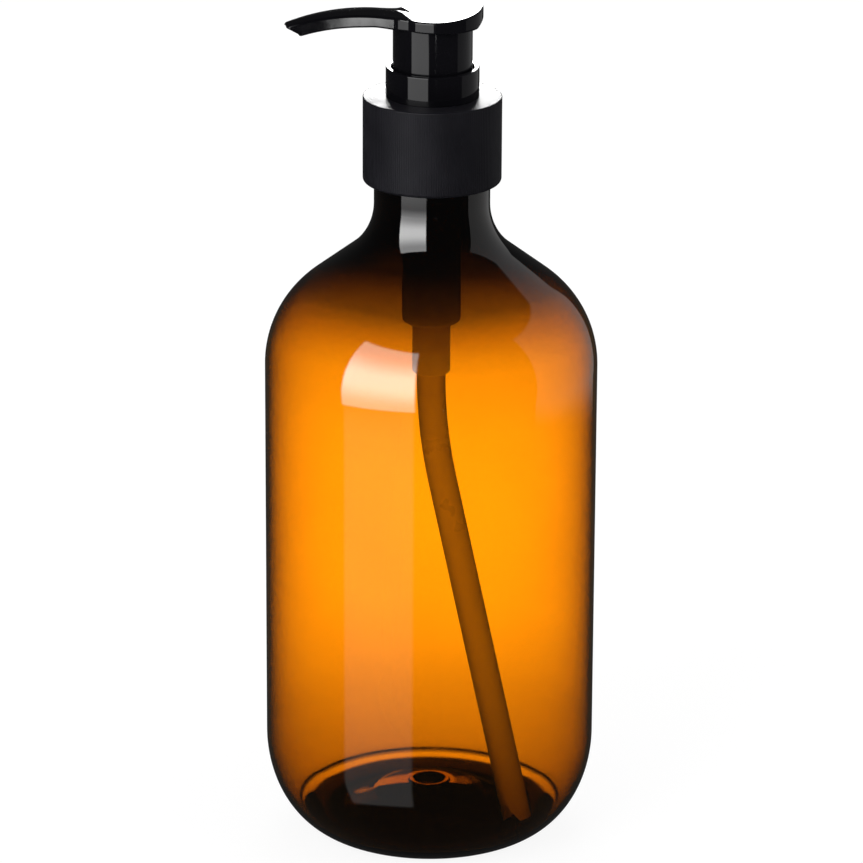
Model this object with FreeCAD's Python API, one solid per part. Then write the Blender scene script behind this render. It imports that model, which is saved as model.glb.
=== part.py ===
import FreeCAD, Part
import math
import os

# Hand pump oil bottle: a blown bottle closed by a screw collar that clamps a piston pump with a flat beak spout.
# Millimetres and degrees. Origin at the centre of the standing ring, +Z up, spout towards -X.

# Bottle
BODY_DIAMETER = 75.0
BOTTLE_HEIGHT = 168.4
BODY_WALL = 0.8
SHOULDER_RADIUS = 24.8
SHOULDER_ANGLE = 52.8
THROAT_RADIUS = 13.7
NECK_HEIGHT = 19.7
NECK_BORE = 21.8
NECK_WALL = 1.7
NECK_STEP = 0.4
THREAD_LAND_HEIGHT = 13.0
RIM_ROUND = 0.4

# Base of the bottle
HEEL_WIDTH = 16.8
HEEL_HEIGHT = 22.75
HEEL_WALL = 1.2
FOOT_OFFSET = 3.9
FOOT_WIDTH = 1.8
PUSH_UP = 7.4
GATE_THICKNESS = 2.4
FLOOR_HEIGHT = 3.8
FLOOR_WIDTH = 9.0
FLOOR_ROUND = 1.2

# Closure stack, counted upwards from the bottle rim
GASKET_THICKNESS = 1.0
HOUSING_FLANGE = 1.2
CHAPLET_FLANGE = 1.2
COLLAR_TOP = 1.5
COLLAR_HEIGHT = 19.5
COLLAR_WALL = 1.6
COLLAR_FOOT_ROUND = 0.8
COLLAR_EDGE_ROUND = 0.3
THREAD_DEPTH = 1.1
THREAD_CLEARANCE = 0.2
FLANGE_GAP = 0.7

# Chaplet, the ring that stands on the collar
CHAPLET_STAND = 6.7
CHAPLET_WALL = 1.25
CHAPLET_FLOOR = 1.2
CHAPLET_EDGE_ROUND = 0.35
WELL_WALL = 0.7
GROOVE_DEPTH = 0.3
GROOVE_PLAY = 0.1
GUIDE_WALL = 1.2
GUIDE_RISE = 2.0
GUIDE_LENGTH = 9.0

# Pump housing
CUP_WALL = 0.75
CUP_FLOOR = 1.2
BARREL_WALL = 0.85
BARREL_ROUND = 0.8
GUIDE_GAP = 0.92
BALL_POCKET_DEPTH = 3.55
CAGE_WALL = 0.45
CAGE_TOOTH_HEIGHT = 0.8
CAGE_TOOTH_WIDTH = 0.9
CAGE_TEETH = 4
PASSAGE_DIAMETER = 3.2
SPIGOT_LENGTH = 12.2
SPIGOT_WALL = 1.0
SPIGOT_CHAMFER = 0.5
VENT_DIAMETER = 1.2
VENT_DROP = 4.0

# Moving pump pieces
STROKE = 9.0
STROKE_RESERVE = 0.5
STEM_DIAMETER = 7.0
STEM_BORE = 3.0
STEM_TO_ROD_GAP = 0.3
PISTON_HEIGHT = 7.2
PISTON_LIP = 1.3
PISTON_WAIST = 0.8
ROD_DIAMETER = 4.4
ROD_WALL = 0.9
ROD_FLANGE = 1.0
ROD_LENGTH = 15.2
SPRING_LENGTH = 24.6
SPRING_WIRE = 0.9
SPRING_TURNS = 8
SPRING_END_PITCH = 1.4
INLET_BALL_DIAMETER = 5.0
INLET_BALL_LIFT = 1.5
OUTLET_BALL_DIAMETER = 4.4
OUTLET_BALL_LIFT = 1.5
OUTLET_PORT_DIAMETER = 3.6

# Dip tube
TUBE_DIAMETER = 6.5
TUBE_WALL = 0.8
TUBE_INSERTION = 9.2
TUBE_STRAIGHT = 0.6
TUBE_BEND_RADIUS = 95.0
TUBE_AZIMUTH = -44.0
TUBE_TIP_SIDE_GAP = 1.6
TUBE_TIP_FLOOR_GAP = 0.6
TUBE_NOTCH_DEPTH = 4.5
TUBE_NOTCH_WIDTH = 4.6

# Pump head
SKIRT_WALL = 1.2
SKIRT_OVERLAP = 3.0
SOCKET_WALL = 1.3
PAD_OVERHANG = 1.05
PAD_OFFSET = 1.3
PAD_TIP_HEIGHT = 4.25
PAD_RIM = 2.65
TROUGH_X = -3.0
TROUGH_HEIGHT = 2.65
CREST_X = -16.0
CREST_HEIGHT = 3.6
SPOUT_REACH = 33.0
SPOUT_ROOT_WIDTH = 9.6
SPOUT_TIP_WIDTH = 8.4
SPOUT_TIP_HEIGHT = 0.7
SPOUT_DROP = 1.9
SPOUT_CUT = 3.5
SPOUT_BEND_X = -14.0
SPOUT_CORNER_ROUND = 2.8
SPOUT_FILLET = 5.0
HEAD_EDGE_ROUND = 0.5
CHANNEL_WIDTH = 3.4
CHANNEL_HEIGHT = 1.2
CHANNEL_ROOF = 0.75
CHANNEL_BEND_X = -22.0
CHANNEL_FALL = 2.2

# Fits: radial clearances of running, pushed-in and loose pieces, and end gaps
RUNNING_CLEARANCE = 0.06
PUSH_CLEARANCE = 0.02
SNAP_CLEARANCE = 0.05
CUP_CLEARANCE = 0.25
SKIRT_CLEARANCE = 0.3
BALL_CLEARANCE = 0.5
OUTLET_BALL_CLEARANCE = 0.3
BALL_STOP_GAP = 0.1
SEAT_GAP = 0.05
STOP_GAP = 0.05
END_GAP = 0.4
CAGE_GAP = 0.2
CUP_FLOOR_GAP = 0.2

# Cones of both ball seats stand at 45 degrees, so a seat rises as much as it widens
SEAT_SIDE = math.sqrt(0.5)

# Points closer than this are one point, and the spring's gap is measured on this many points a turn
SAME_PLACE = 1e-6
SAMPLES_PER_TURN = 24

# Radii, worked outwards and inwards from the bore of the neck
body_radius = BODY_DIAMETER / 2
neck_bore_radius = NECK_BORE / 2
land_radius = neck_bore_radius + NECK_WALL
neck_radius = land_radius + NECK_STEP
collar_bore_radius = land_radius + THREAD_DEPTH + THREAD_CLEARANCE
collar_radius = collar_bore_radius + COLLAR_WALL
flange_radius = collar_bore_radius - FLANGE_GAP
cup_radius = neck_bore_radius - CUP_CLEARANCE
cup_bore_radius = cup_radius - CUP_WALL
well_radius = cup_bore_radius - SNAP_CLEARANCE
chaplet_bore_radius = well_radius - WELL_WALL
chaplet_radius = chaplet_bore_radius + CHAPLET_WALL
groove_radius = chaplet_radius - GROOVE_DEPTH
collar_hole_radius = groove_radius + RUNNING_CLEARANCE
skirt_radius = chaplet_bore_radius - SKIRT_CLEARANCE
stem_radius = STEM_DIAMETER / 2
guide_bore_radius = stem_radius + RUNNING_CLEARANCE
guide_radius = guide_bore_radius + GUIDE_WALL
barrel_bore_radius = guide_radius + GUIDE_GAP
barrel_radius = barrel_bore_radius + BARREL_WALL
piston_radius = barrel_bore_radius - RUNNING_CLEARANCE
rod_radius = ROD_DIAMETER / 2
rod_bore_radius = rod_radius - ROD_WALL
inlet_ball_radius = INLET_BALL_DIAMETER / 2
pocket_radius = inlet_ball_radius + BALL_CLEARANCE
cage_radius = pocket_radius + CAGE_WALL
spring_mean_radius = cage_radius + CAGE_GAP + SPRING_WIRE / 2
rod_flange_radius = spring_mean_radius + SPRING_WIRE / 2
outlet_ball_radius = OUTLET_BALL_DIAMETER / 2
chamber_radius = outlet_ball_radius + OUTLET_BALL_CLEARANCE
passage_radius = PASSAGE_DIAMETER / 2
tube_radius = TUBE_DIAMETER / 2
spigot_bore_radius = tube_radius + PUSH_CLEARANCE
spigot_radius = spigot_bore_radius + SPIGOT_WALL

# Heights of the closure stack, upwards from the rim
gasket_top = BOTTLE_HEIGHT + GASKET_THICKNESS
housing_top = gasket_top + HOUSING_FLANGE
chaplet_flange_top = housing_top + CHAPLET_FLANGE
collar_top = chaplet_flange_top + COLLAR_TOP
collar_bottom = collar_top - COLLAR_HEIGHT
chaplet_top = collar_top + CHAPLET_STAND
head_underside = chaplet_top + STROKE + STROKE_RESERVE

# Heights of the pump, downwards from the head at rest
skirt_bottom = chaplet_top - SKIRT_OVERLAP
chaplet_floor_top = skirt_bottom - STROKE - END_GAP
chaplet_floor_bottom = chaplet_floor_top - CHAPLET_FLOOR
cup_floor_top = chaplet_floor_bottom - CUP_FLOOR_GAP
cup_floor_bottom = cup_floor_top - CUP_FLOOR
guide_top = chaplet_floor_top + GUIDE_RISE
guide_bottom = chaplet_floor_bottom - GUIDE_LENGTH
socket_bottom = guide_top + STROKE + END_GAP
piston_top = guide_bottom - STOP_GAP
piston_bottom = piston_top - PISTON_HEIGHT
rod_bottom = piston_bottom - ROD_FLANGE
rod_top = rod_bottom + ROD_LENGTH
spring_bottom = rod_bottom - SPRING_LENGTH
barrel_bottom = spring_bottom - BALL_POCKET_DEPTH
seat_bottom = barrel_bottom - (pocket_radius - passage_radius)
spigot_bottom = barrel_bottom - SPIGOT_LENGTH
tube_stop = spigot_bottom + TUBE_INSERTION

# Ball centres at rest, each a small gap above its conical seat
inlet_ball_height = seat_bottom - passage_radius + (inlet_ball_radius + SEAT_GAP) / SEAT_SIDE
cage_tooth_reach = inlet_ball_radius * SEAT_SIDE
cage_tooth_bottom = inlet_ball_height + INLET_BALL_LIFT + inlet_ball_radius * SEAT_SIDE + BALL_STOP_GAP
cage_top = cage_tooth_bottom + CAGE_TOOTH_HEIGHT
port_radius = OUTLET_PORT_DIAMETER / 2
port_cap = math.sqrt(outlet_ball_radius ** 2 - port_radius ** 2)
outlet_ball_height = head_underside - OUTLET_BALL_LIFT - port_cap - BALL_STOP_GAP
outlet_seat_bottom = outlet_ball_height + STEM_BORE / 2 - (outlet_ball_radius + SEAT_GAP) / SEAT_SIDE

# Heel: an ellipse that leaves the foot at its slope and meets the wall upright
heel_centre_radius = body_radius - HEEL_WIDTH
foot_radius = heel_centre_radius + FOOT_OFFSET
foot_angle = math.asin(FOOT_OFFSET / HEEL_WIDTH)
heel_semi_height = HEEL_HEIGHT / math.cos(foot_angle)
inner_heel_width = HEEL_WIDTH - BODY_WALL
inner_heel_semi_height = heel_semi_height - HEEL_WALL
floor_angle = math.acos((HEEL_HEIGHT - FLOOR_HEIGHT) / inner_heel_semi_height)
floor_edge_radius = heel_centre_radius + inner_heel_width * math.sin(floor_angle)
dome_edge_radius = floor_edge_radius - FLOOR_WIDTH
dome_top = PUSH_UP + GATE_THICKNESS

# Shoulder, straight cone and throat, downwards from the neck
shoulder_turn = math.radians(SHOULDER_ANGLE)
neck_bottom = BOTTLE_HEIGHT - NECK_HEIGHT
throat_centre_radius = neck_radius + THROAT_RADIUS
shoulder_centre_radius = body_radius - SHOULDER_RADIUS
cone_top_radius = throat_centre_radius - THROAT_RADIUS * math.cos(shoulder_turn)
cone_bottom_radius = shoulder_centre_radius + SHOULDER_RADIUS * math.cos(shoulder_turn)
cone_rise = (cone_bottom_radius - cone_top_radius) / math.tan(shoulder_turn)
shoulder_start = neck_bottom - (THROAT_RADIUS + SHOULDER_RADIUS) * math.sin(shoulder_turn) - cone_rise

ORIGIN = FreeCAD.Vector(0, 0, 0)
UP = FreeCAD.Vector(0, 0, 1)
ACROSS = FreeCAD.Vector(0, 1, 0)


def at(radius, height):
    """Point of a half section, in the XZ plane."""
    return FreeCAD.Vector(radius, 0, height)


def line(start, end):
    """Straight edge between two points."""
    return Part.LineSegment(start, end).toShape()


def round_arc(centre, radius, start_angle, end_angle):
    """Circular edge in the XZ plane, angles in radians from +X towards +Z."""
    angles = (start_angle, (start_angle + end_angle) / 2, end_angle)
    points = [centre + radius * at(math.cos(angle), math.sin(angle)) for angle in angles]
    return Part.Arc(*points).toShape()


def heel_arc(half_width, half_height, start_angle, end_angle):
    """Elliptical edge of the heel, angles counted from its lowest point towards the wall."""
    def point(angle):
        return at(heel_centre_radius + half_width * math.sin(angle), HEEL_HEIGHT - half_height * math.cos(angle))

    def speed(angle):
        return at(half_width * math.cos(angle), half_height * math.sin(angle))

    handle = math.tan((end_angle - start_angle) / 4) * 4 / 3
    first, last = point(start_angle), point(end_angle)
    curve = Part.BezierCurve()
    curve.setPoles([first, first + handle * speed(start_angle), last - handle * speed(end_angle), last])
    return curve.toShape()


def dome_arc(top_height, edge_radius, edge_height):
    """Circular edge of a dome, from its top on the axis down to its edge."""
    rise = top_height - edge_height
    radius = (edge_radius ** 2 + rise ** 2) / (2 * rise)
    edge_angle = math.atan2(edge_height - top_height + radius, edge_radius)
    return round_arc(at(0, top_height - radius), radius, math.pi / 2, edge_angle)


def start_of(edge):
    """First point of an edge."""
    return edge.valueAt(edge.FirstParameter)


def end_of(edge):
    """Last point of an edge."""
    return edge.valueAt(edge.LastParameter)


def backwards(edge):
    """The same circular edge, drawn from its end to its start."""
    middle = edge.valueAt((edge.FirstParameter + edge.LastParameter) / 2)
    return Part.Arc(end_of(edge), middle, start_of(edge)).toShape()


def joined(edges):
    """Closed wire from curved edges given in order, with straight lines across the gaps between them."""
    chain = []
    for edge, following in zip(edges, edges[1:] + edges[:1]):
        chain.append(edge)
        if end_of(edge).distanceToPoint(start_of(following)) > SAME_PLACE:
            chain.append(line(end_of(edge), start_of(following)))
    return Part.Wire(chain)


def polygon(corners):
    """Closed wire in the XZ plane through (x, z) corners; a third number rounds that corner."""
    edges = []
    count = len(corners)
    places = [at(corner[0], corner[1]) for corner in corners]
    for index, corner in enumerate(corners):
        here = places[index]
        if len(corner) == 2:
            edges.append((here, here, None))
            continue
        back = (places[index - 1] - here).normalize()
        onward = (places[(index + 1) % count] - here).normalize()
        half_angle = back.getAngle(onward) / 2
        reach = corner[2] / math.tan(half_angle)
        middle = (back + onward).normalize()
        crown = here + middle * (corner[2] / math.sin(half_angle) - corner[2])
        edges.append((here + back * reach, here + onward * reach, crown))
    chain = []
    for index, (arrive, leave, crown) in enumerate(edges):
        if crown is not None:
            chain.append(Part.Arc(arrive, crown, leave).toShape())
        target = edges[(index + 1) % count][0]
        if leave.distanceToPoint(target) > SAME_PLACE:
            chain.append(line(leave, target))
    return Part.Wire(chain)


def turned(wire):
    """Solid of revolution about the Z axis from a closed half section."""
    return Part.Face(wire).revolve(ORIGIN, UP, 360)


def ring_edges(solid, radius, height):
    """Circular edges of a turned solid at one radius and height."""
    found = []
    for edge in solid.Edges:
        box = edge.BoundBox
        flat = box.ZLength < SAME_PLACE and abs(box.ZMin - height) < SAME_PLACE
        if flat and abs(box.XMax - radius) < SAME_PLACE:
            found.append(edge)
    return found


def make_bottle():
    """Blown bottle: pushed-up base, wide heel, straight wall, round shoulder, throat and thread land."""
    upright = math.pi / 2
    shoulder_centre = at(shoulder_centre_radius, shoulder_start)
    throat_centre = at(throat_centre_radius, neck_bottom)
    neck_thickness = neck_radius - neck_bore_radius
    foot_inner_radius = foot_radius - FOOT_WIDTH
    throat_start = math.pi + shoulder_turn
    land_bottom = BOTTLE_HEIGHT - THREAD_LAND_HEIGHT
    rim_centre = at(land_radius - RIM_ROUND, BOTTLE_HEIGHT - RIM_ROUND)
    outer = [
        dome_arc(PUSH_UP, foot_inner_radius, 0),
        heel_arc(HEEL_WIDTH, heel_semi_height, foot_angle, upright),
        round_arc(shoulder_centre, SHOULDER_RADIUS, 0, shoulder_turn),
        round_arc(throat_centre, THROAT_RADIUS, throat_start, math.pi),
        line(at(neck_radius, land_bottom), at(land_radius, land_bottom)),
        round_arc(rim_centre, RIM_ROUND, 0, upright),
    ]
    inner = [
        line(at(neck_bore_radius, BOTTLE_HEIGHT), at(neck_bore_radius, neck_bottom)),
        round_arc(throat_centre, THROAT_RADIUS + neck_thickness, math.pi, throat_start),
        round_arc(shoulder_centre, SHOULDER_RADIUS - BODY_WALL, shoulder_turn, 0),
        heel_arc(inner_heel_width, inner_heel_semi_height, upright, floor_angle),
        line(at(floor_edge_radius, FLOOR_HEIGHT), at(dome_edge_radius, FLOOR_HEIGHT)),
    ]
    inner.append(backwards(dome_arc(dome_top, dome_edge_radius, FLOOR_HEIGHT)))
    solid = turned(joined(outer + inner))
    soft_edges = []
    for radius in (floor_edge_radius, dome_edge_radius):
        soft_edges += ring_edges(solid, radius, FLOOR_HEIGHT)
    return solid.makeFillet(FLOOR_ROUND, soft_edges)


def make_screw_collar():
    """Collar with a plain bore over the thread land and a hole that runs in the chaplet's groove."""
    wall_bottom = collar_top - COLLAR_TOP
    return turned(polygon([
        (collar_bore_radius, collar_bottom),
        (collar_radius, collar_bottom, COLLAR_FOOT_ROUND),
        (collar_radius, collar_top, COLLAR_EDGE_ROUND),
        (collar_hole_radius, collar_top),
        (collar_hole_radius, wall_bottom),
        (collar_bore_radius, wall_bottom),
    ]))


def make_neck_gasket():
    """Flat ring clamped between the rim and the housing flange."""
    return turned(polygon([
        (neck_bore_radius, BOTTLE_HEIGHT),
        (flange_radius, BOTTLE_HEIGHT),
        (flange_radius, gasket_top),
        (neck_bore_radius, gasket_top),
    ]))


def make_chaplet():
    """Ring with a flange under the collar, a well for the skirt and a long guide for the stem."""
    return turned(polygon([
        (guide_bore_radius, guide_bottom),
        (guide_radius, guide_bottom),
        (guide_radius, chaplet_floor_bottom),
        (well_radius, chaplet_floor_bottom),
        (well_radius, housing_top),
        (flange_radius, housing_top),
        (flange_radius, chaplet_flange_top),
        (groove_radius, chaplet_flange_top),
        (groove_radius, collar_top + GROOVE_PLAY),
        (chaplet_radius, collar_top + GROOVE_PLAY),
        (chaplet_radius, chaplet_top, CHAPLET_EDGE_ROUND),
        (chaplet_bore_radius, chaplet_top, CHAPLET_EDGE_ROUND),
        (chaplet_bore_radius, chaplet_floor_top),
        (guide_radius, chaplet_floor_top),
        (guide_radius, guide_top),
        (guide_bore_radius, guide_top),
    ]))


def make_pump_housing():
    """Barrel with flange and cup above, ball seat and toothed ball cage inside, and the tube's spigot below."""
    body = turned(polygon([
        (spigot_bore_radius, spigot_bottom),
        (spigot_radius - SPIGOT_CHAMFER, spigot_bottom),
        (spigot_radius, spigot_bottom + SPIGOT_CHAMFER),
        (spigot_radius, barrel_bottom),
        (barrel_radius, barrel_bottom, BARREL_ROUND),
        (barrel_radius, cup_floor_bottom),
        (cup_radius, cup_floor_bottom),
        (cup_radius, gasket_top),
        (flange_radius, gasket_top),
        (flange_radius, housing_top),
        (cup_bore_radius, housing_top),
        (cup_bore_radius, cup_floor_top),
        (barrel_bore_radius, cup_floor_top),
        (barrel_bore_radius, spring_bottom),
        (cage_radius, spring_bottom),
        (cage_radius, cage_top),
        (pocket_radius, cage_top),
        (pocket_radius, barrel_bottom),
        (passage_radius, seat_bottom),
        (passage_radius, tube_stop),
        (spigot_bore_radius, tube_stop),
    ]))
    tooth_length = (pocket_radius + cage_radius) / 2 - cage_tooth_reach
    corner = FreeCAD.Vector(cage_tooth_reach, -CAGE_TOOTH_WIDTH / 2, cage_tooth_bottom)
    tooth = Part.makeBox(tooth_length, CAGE_TOOTH_WIDTH, CAGE_TOOTH_HEIGHT, corner)
    teeth = []
    for number in range(CAGE_TEETH):
        copy = tooth.copy()
        copy.rotate(ORIGIN, UP, number * 360 / CAGE_TEETH)
        teeth.append(copy)
    vent_start = FreeCAD.Vector(0, 0, cup_floor_bottom - VENT_DROP)
    vent = Part.makeCylinder(VENT_DIAMETER / 2, barrel_radius + BARREL_WALL, vent_start, ACROSS)
    return body.fuse(teeth).removeSplitter().cut(vent)


def floor_under(radius):
    """Height of the bottle's inside floor: level at its edge, domed towards the middle."""
    if radius >= dome_edge_radius:
        return FLOOR_HEIGHT
    rise = dome_top - FLOOR_HEIGHT
    dome_radius = (dome_edge_radius ** 2 + rise ** 2) / (2 * rise)
    return dome_top - dome_radius + math.sqrt(dome_radius ** 2 - radius ** 2)


def tube_turn_for(tip_radius, fall):
    """Angle of the tube's bend that brings its end out to a radius after a given fall."""
    offset = TUBE_BEND_RADIUS - tip_radius
    return math.asin(TUBE_BEND_RADIUS / math.hypot(fall, offset)) - math.atan2(offset, fall)


def make_dip_tube():
    """Bent tube from the spigot to the edge of the bottle floor, with a V notch in its end."""
    bend_top = spigot_bottom - TUBE_STRAIGHT
    tip_radius = floor_edge_radius - TUBE_TIP_SIDE_GAP - tube_radius
    rest_height = floor_under(tip_radius - tube_radius) + TUBE_TIP_FLOOR_GAP
    lean = tube_turn_for(tip_radius, bend_top - rest_height)
    tip_height = rest_height + tube_radius * math.sin(lean)
    turn = tube_turn_for(tip_radius, bend_top - tip_height)
    azimuth = math.radians(TUBE_AZIMUTH)
    heading = FreeCAD.Vector(math.cos(azimuth), math.sin(azimuth), 0)

    def bend_point(angle):
        """Point on the bend, its angle counted from the upright stretch."""
        out = TUBE_BEND_RADIUS * (1 - math.cos(angle))
        return heading * out + UP * (bend_top - TUBE_BEND_RADIUS * math.sin(angle))

    top = UP * tube_stop
    bend_end = bend_point(turn)
    tip = heading * tip_radius + UP * tip_height
    route = Part.Wire([
        line(top, bend_point(0)),
        Part.Arc(bend_point(0), bend_point(turn / 2), bend_end).toShape(),
        line(bend_end, tip),
    ])

    def swept(radius):
        """Round bar of one radius along the route."""
        profile = Part.Wire(Part.Circle(top, UP, radius).toShape())
        return route.makePipeShell([profile], True, False)

    bore_radius = tube_radius - TUBE_WALL
    tube = swept(tube_radius).cut(swept(bore_radius))
    section = math.pi * (tube_radius ** 2 - bore_radius ** 2)
    print("dip tube volume over section times length:", round(tube.Volume / (section * route.Length), 5))
    along = (tip - bend_end).normalize()
    sideways = along.cross(UP).normalize()
    outward = sideways.cross(along).normalize()
    below = tip + along * TUBE_NOTCH_DEPTH
    mouth = [tip - along * TUBE_NOTCH_DEPTH, below + outward * TUBE_NOTCH_WIDTH, below - outward * TUBE_NOTCH_WIDTH]
    corners = [corner - sideways * TUBE_DIAMETER for corner in mouth]
    wedge = Part.Face(Part.makePolygon(corners + corners[:1])).extrude(sideways * TUBE_DIAMETER * 2)
    return tube.cut(wedge)


def make_inlet_ball():
    """Lower valve ball, just above its seat."""
    return Part.makeSphere(inlet_ball_radius, FreeCAD.Vector(0, 0, inlet_ball_height))


def make_outlet_ball():
    """Upper valve ball, just above its seat in the stem."""
    return Part.makeSphere(outlet_ball_radius, FreeCAD.Vector(0, 0, outlet_ball_height))


def biarc(start, start_heading, end, end_heading):
    """Two circular edges that join two points with given headings smoothly."""
    span = end - start
    headings = start_heading + end_heading
    bend = 2 * (1 - start_heading.dot(end_heading))
    slope = span.dot(headings)
    reach = (math.sqrt(slope ** 2 + bend * span.dot(span)) - slope) / bend
    middle = (start + start_heading * reach + end - end_heading * reach) / 2

    def arc(first, heading, last):
        chord = last - first
        side = heading - chord * (heading.dot(chord) / chord.dot(chord))
        lean = heading.getAngle(chord)
        crown = (first + last) / 2 + side.normalize() * (chord.Length / 2 * math.tan(lean / 2))
        return Part.Arc(first, crown, last).toShape()

    return [arc(start, start_heading, middle), arc(end, end_heading * -1, middle)]


def make_return_spring():
    """Coil spring of round wire between the housing floor and the rod flange, with a closer turn at each end."""
    half_turns = 2 * SPRING_TURNS
    open_rise = SPRING_LENGTH - SPRING_WIRE - 2 * SPRING_END_PITCH
    open_pitch = open_rise / (SPRING_TURNS - 2)
    pitches = [SPRING_END_PITCH] * 2 + [open_pitch] * (half_turns - 4) + [SPRING_END_PITCH] * 2
    heights = [spring_bottom + SPRING_WIRE / 2]
    for pitch in pitches:
        heights.append(heights[-1] + pitch / 2)

    def place(number):
        """Wire centre at the end of a half turn."""
        side = 1 if number % 2 == 0 else -1
        return FreeCAD.Vector(spring_mean_radius * side, 0, heights[number])

    def heading(number):
        """Direction of the wire at the end of a half turn, its climb shared by the turns beside it."""
        side = 1 if number % 2 == 0 else -1
        before = pitches[max(number - 1, 0)]
        after = pitches[min(number, half_turns - 1)]
        climb = (before + after) / (4 * math.pi)
        return FreeCAD.Vector(0, spring_mean_radius * side, climb).normalize()

    edges = []
    for number in range(half_turns):
        edges += biarc(place(number), heading(number), place(number + 1), heading(number + 1))
    route = Part.Wire(Part.__sortEdges__(edges))
    profile = Part.Wire(Part.Circle(place(0), heading(0), SPRING_WIRE / 2).toShape())
    coil = route.makePipeShell([profile], True, False)
    section = math.pi * SPRING_WIRE ** 2 / 4
    print("spring volume over section times length:", round(coil.Volume / (section * route.Length), 5))
    samples = route.discretize(Number=SAMPLES_PER_TURN * SPRING_TURNS + 1)
    gap = min(
        first.distanceToPoint(second)
        for index, first in enumerate(samples)
        for second in samples[index + SAMPLES_PER_TURN // 2:]
    )
    print("spring least gap to itself:", round(gap - SPRING_WIRE, 3), "mm")
    return coil


def make_piston():
    """Sliding seal with an upper and a lower lip, clamped between stem and rod flange."""
    bore = rod_radius + RUNNING_CLEARANCE
    waist = piston_radius - PISTON_WAIST
    return turned(polygon([
        (bore, piston_bottom),
        (piston_radius, piston_bottom),
        (piston_radius, piston_bottom + PISTON_LIP),
        (waist, piston_bottom + PISTON_LIP + PISTON_WAIST),
        (waist, piston_top - PISTON_LIP - PISTON_WAIST),
        (piston_radius, piston_top - PISTON_LIP),
        (piston_radius, piston_top),
        (bore, piston_top),
    ]))


def make_piston_rod():
    """Hollow rod pushed into the stem, with the flange that carries the piston and takes the spring."""
    return turned(polygon([
        (rod_bore_radius, rod_bottom),
        (rod_flange_radius, rod_bottom),
        (rod_flange_radius, piston_bottom),
        (rod_radius, piston_bottom),
        (rod_radius, rod_top),
        (rod_bore_radius, rod_top),
    ]))


def make_stem():
    """Hollow stem with the rod's socket below and the upper ball chamber above."""
    socket_radius = rod_radius + PUSH_CLEARANCE
    socket_top = rod_top + STEM_TO_ROD_GAP
    bore_radius = STEM_BORE / 2
    return turned(polygon([
        (socket_radius, piston_top),
        (stem_radius, piston_top),
        (stem_radius, head_underside),
        (chamber_radius, head_underside),
        (chamber_radius, outlet_seat_bottom + chamber_radius - bore_radius),
        (bore_radius, outlet_seat_bottom),
        (bore_radius, socket_top),
        (socket_radius, socket_top),
    ]))


def head_side_face():
    """Side view of the head's top plate: finger dish, spout crest, slanted tip and hollow underside."""
    pad_tip_x = skirt_radius + PAD_OVERHANG + PAD_OFFSET
    trough = at(TROUGH_X, head_underside + TROUGH_HEIGHT)
    crest = at(CREST_X, head_underside + CREST_HEIGHT)
    pad_tip = at(pad_tip_x, head_underside + PAD_TIP_HEIGHT)
    spout_tip = at(-SPOUT_REACH, head_underside + SPOUT_TIP_HEIGHT)
    spout_foot = at(SPOUT_CUT - SPOUT_REACH, head_underside - SPOUT_DROP)
    bend = at(SPOUT_BEND_X, head_underside)

    def radius_between(level, other):
        """Radius of the arc that leaves one point level and passes through another."""
        return level.distanceToPoint(other) ** 2 / (2 * abs(other.z - level.z))

    def level_arc(level, other, side):
        """Arc that leaves one point level and ends at another, its centre above (+1) or below (-1)."""
        radius = radius_between(level, other)
        centre = level + UP * radius * side
        start = -side * math.pi / 2
        swing = math.asin((other.x - level.x) / radius) * side
        return round_arc(centre, radius, start, start + swing)

    dish_radius = radius_between(trough, pad_tip)
    crest_radius = radius_between(trough, crest) - dish_radius
    share = dish_radius / (dish_radius + crest_radius)
    change = trough + (crest - trough) * share
    dish = level_arc(trough, pad_tip, 1)
    edges = [
        backwards(dish),
        level_arc(trough, change, 1),
        backwards(level_arc(crest, change, -1)),
        level_arc(crest, spout_tip, -1),
        backwards(level_arc(bend, spout_foot, -1)),
        line(at(skirt_radius, head_underside), at(pad_tip_x, pad_tip.z - PAD_RIM)),
    ]
    return Part.Face(joined(edges))


def head_plan(height):
    """Plan of the head's top plate as a tall prism: round pad and tapering spout with rounded corners."""
    pad_radius = skirt_radius + PAD_OVERHANG
    low = head_underside - height / 2
    pad = Part.makeCylinder(pad_radius, height, FreeCAD.Vector(PAD_OFFSET, 0, low))
    half_root, half_tip = SPOUT_ROOT_WIDTH / 2, SPOUT_TIP_WIDTH / 2
    corners = [
        FreeCAD.Vector(0, half_root, low),
        FreeCAD.Vector(-SPOUT_REACH, half_tip, low),
        FreeCAD.Vector(-SPOUT_REACH, -half_tip, low),
        FreeCAD.Vector(0, -half_root, low),
    ]
    spout = Part.Face(Part.makePolygon(corners + corners[:1])).extrude(UP * height)
    plan = pad.fuse(spout).removeSplitter()
    upright = [edge for edge in plan.Edges if edge.BoundBox.ZLength > height / 2]
    tip_edges = [edge for edge in upright if edge.BoundBox.XMax < SAME_PLACE - SPOUT_REACH]
    root_edges = [
        edge for edge in upright
        if edge.BoundBox.XMax < -half_root and edge.BoundBox.XMin > -SPOUT_REACH / 2
    ]
    return plan.makeFillet(SPOUT_FILLET, root_edges).makeFillet(SPOUT_CORNER_ROUND, tip_edges)


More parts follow.
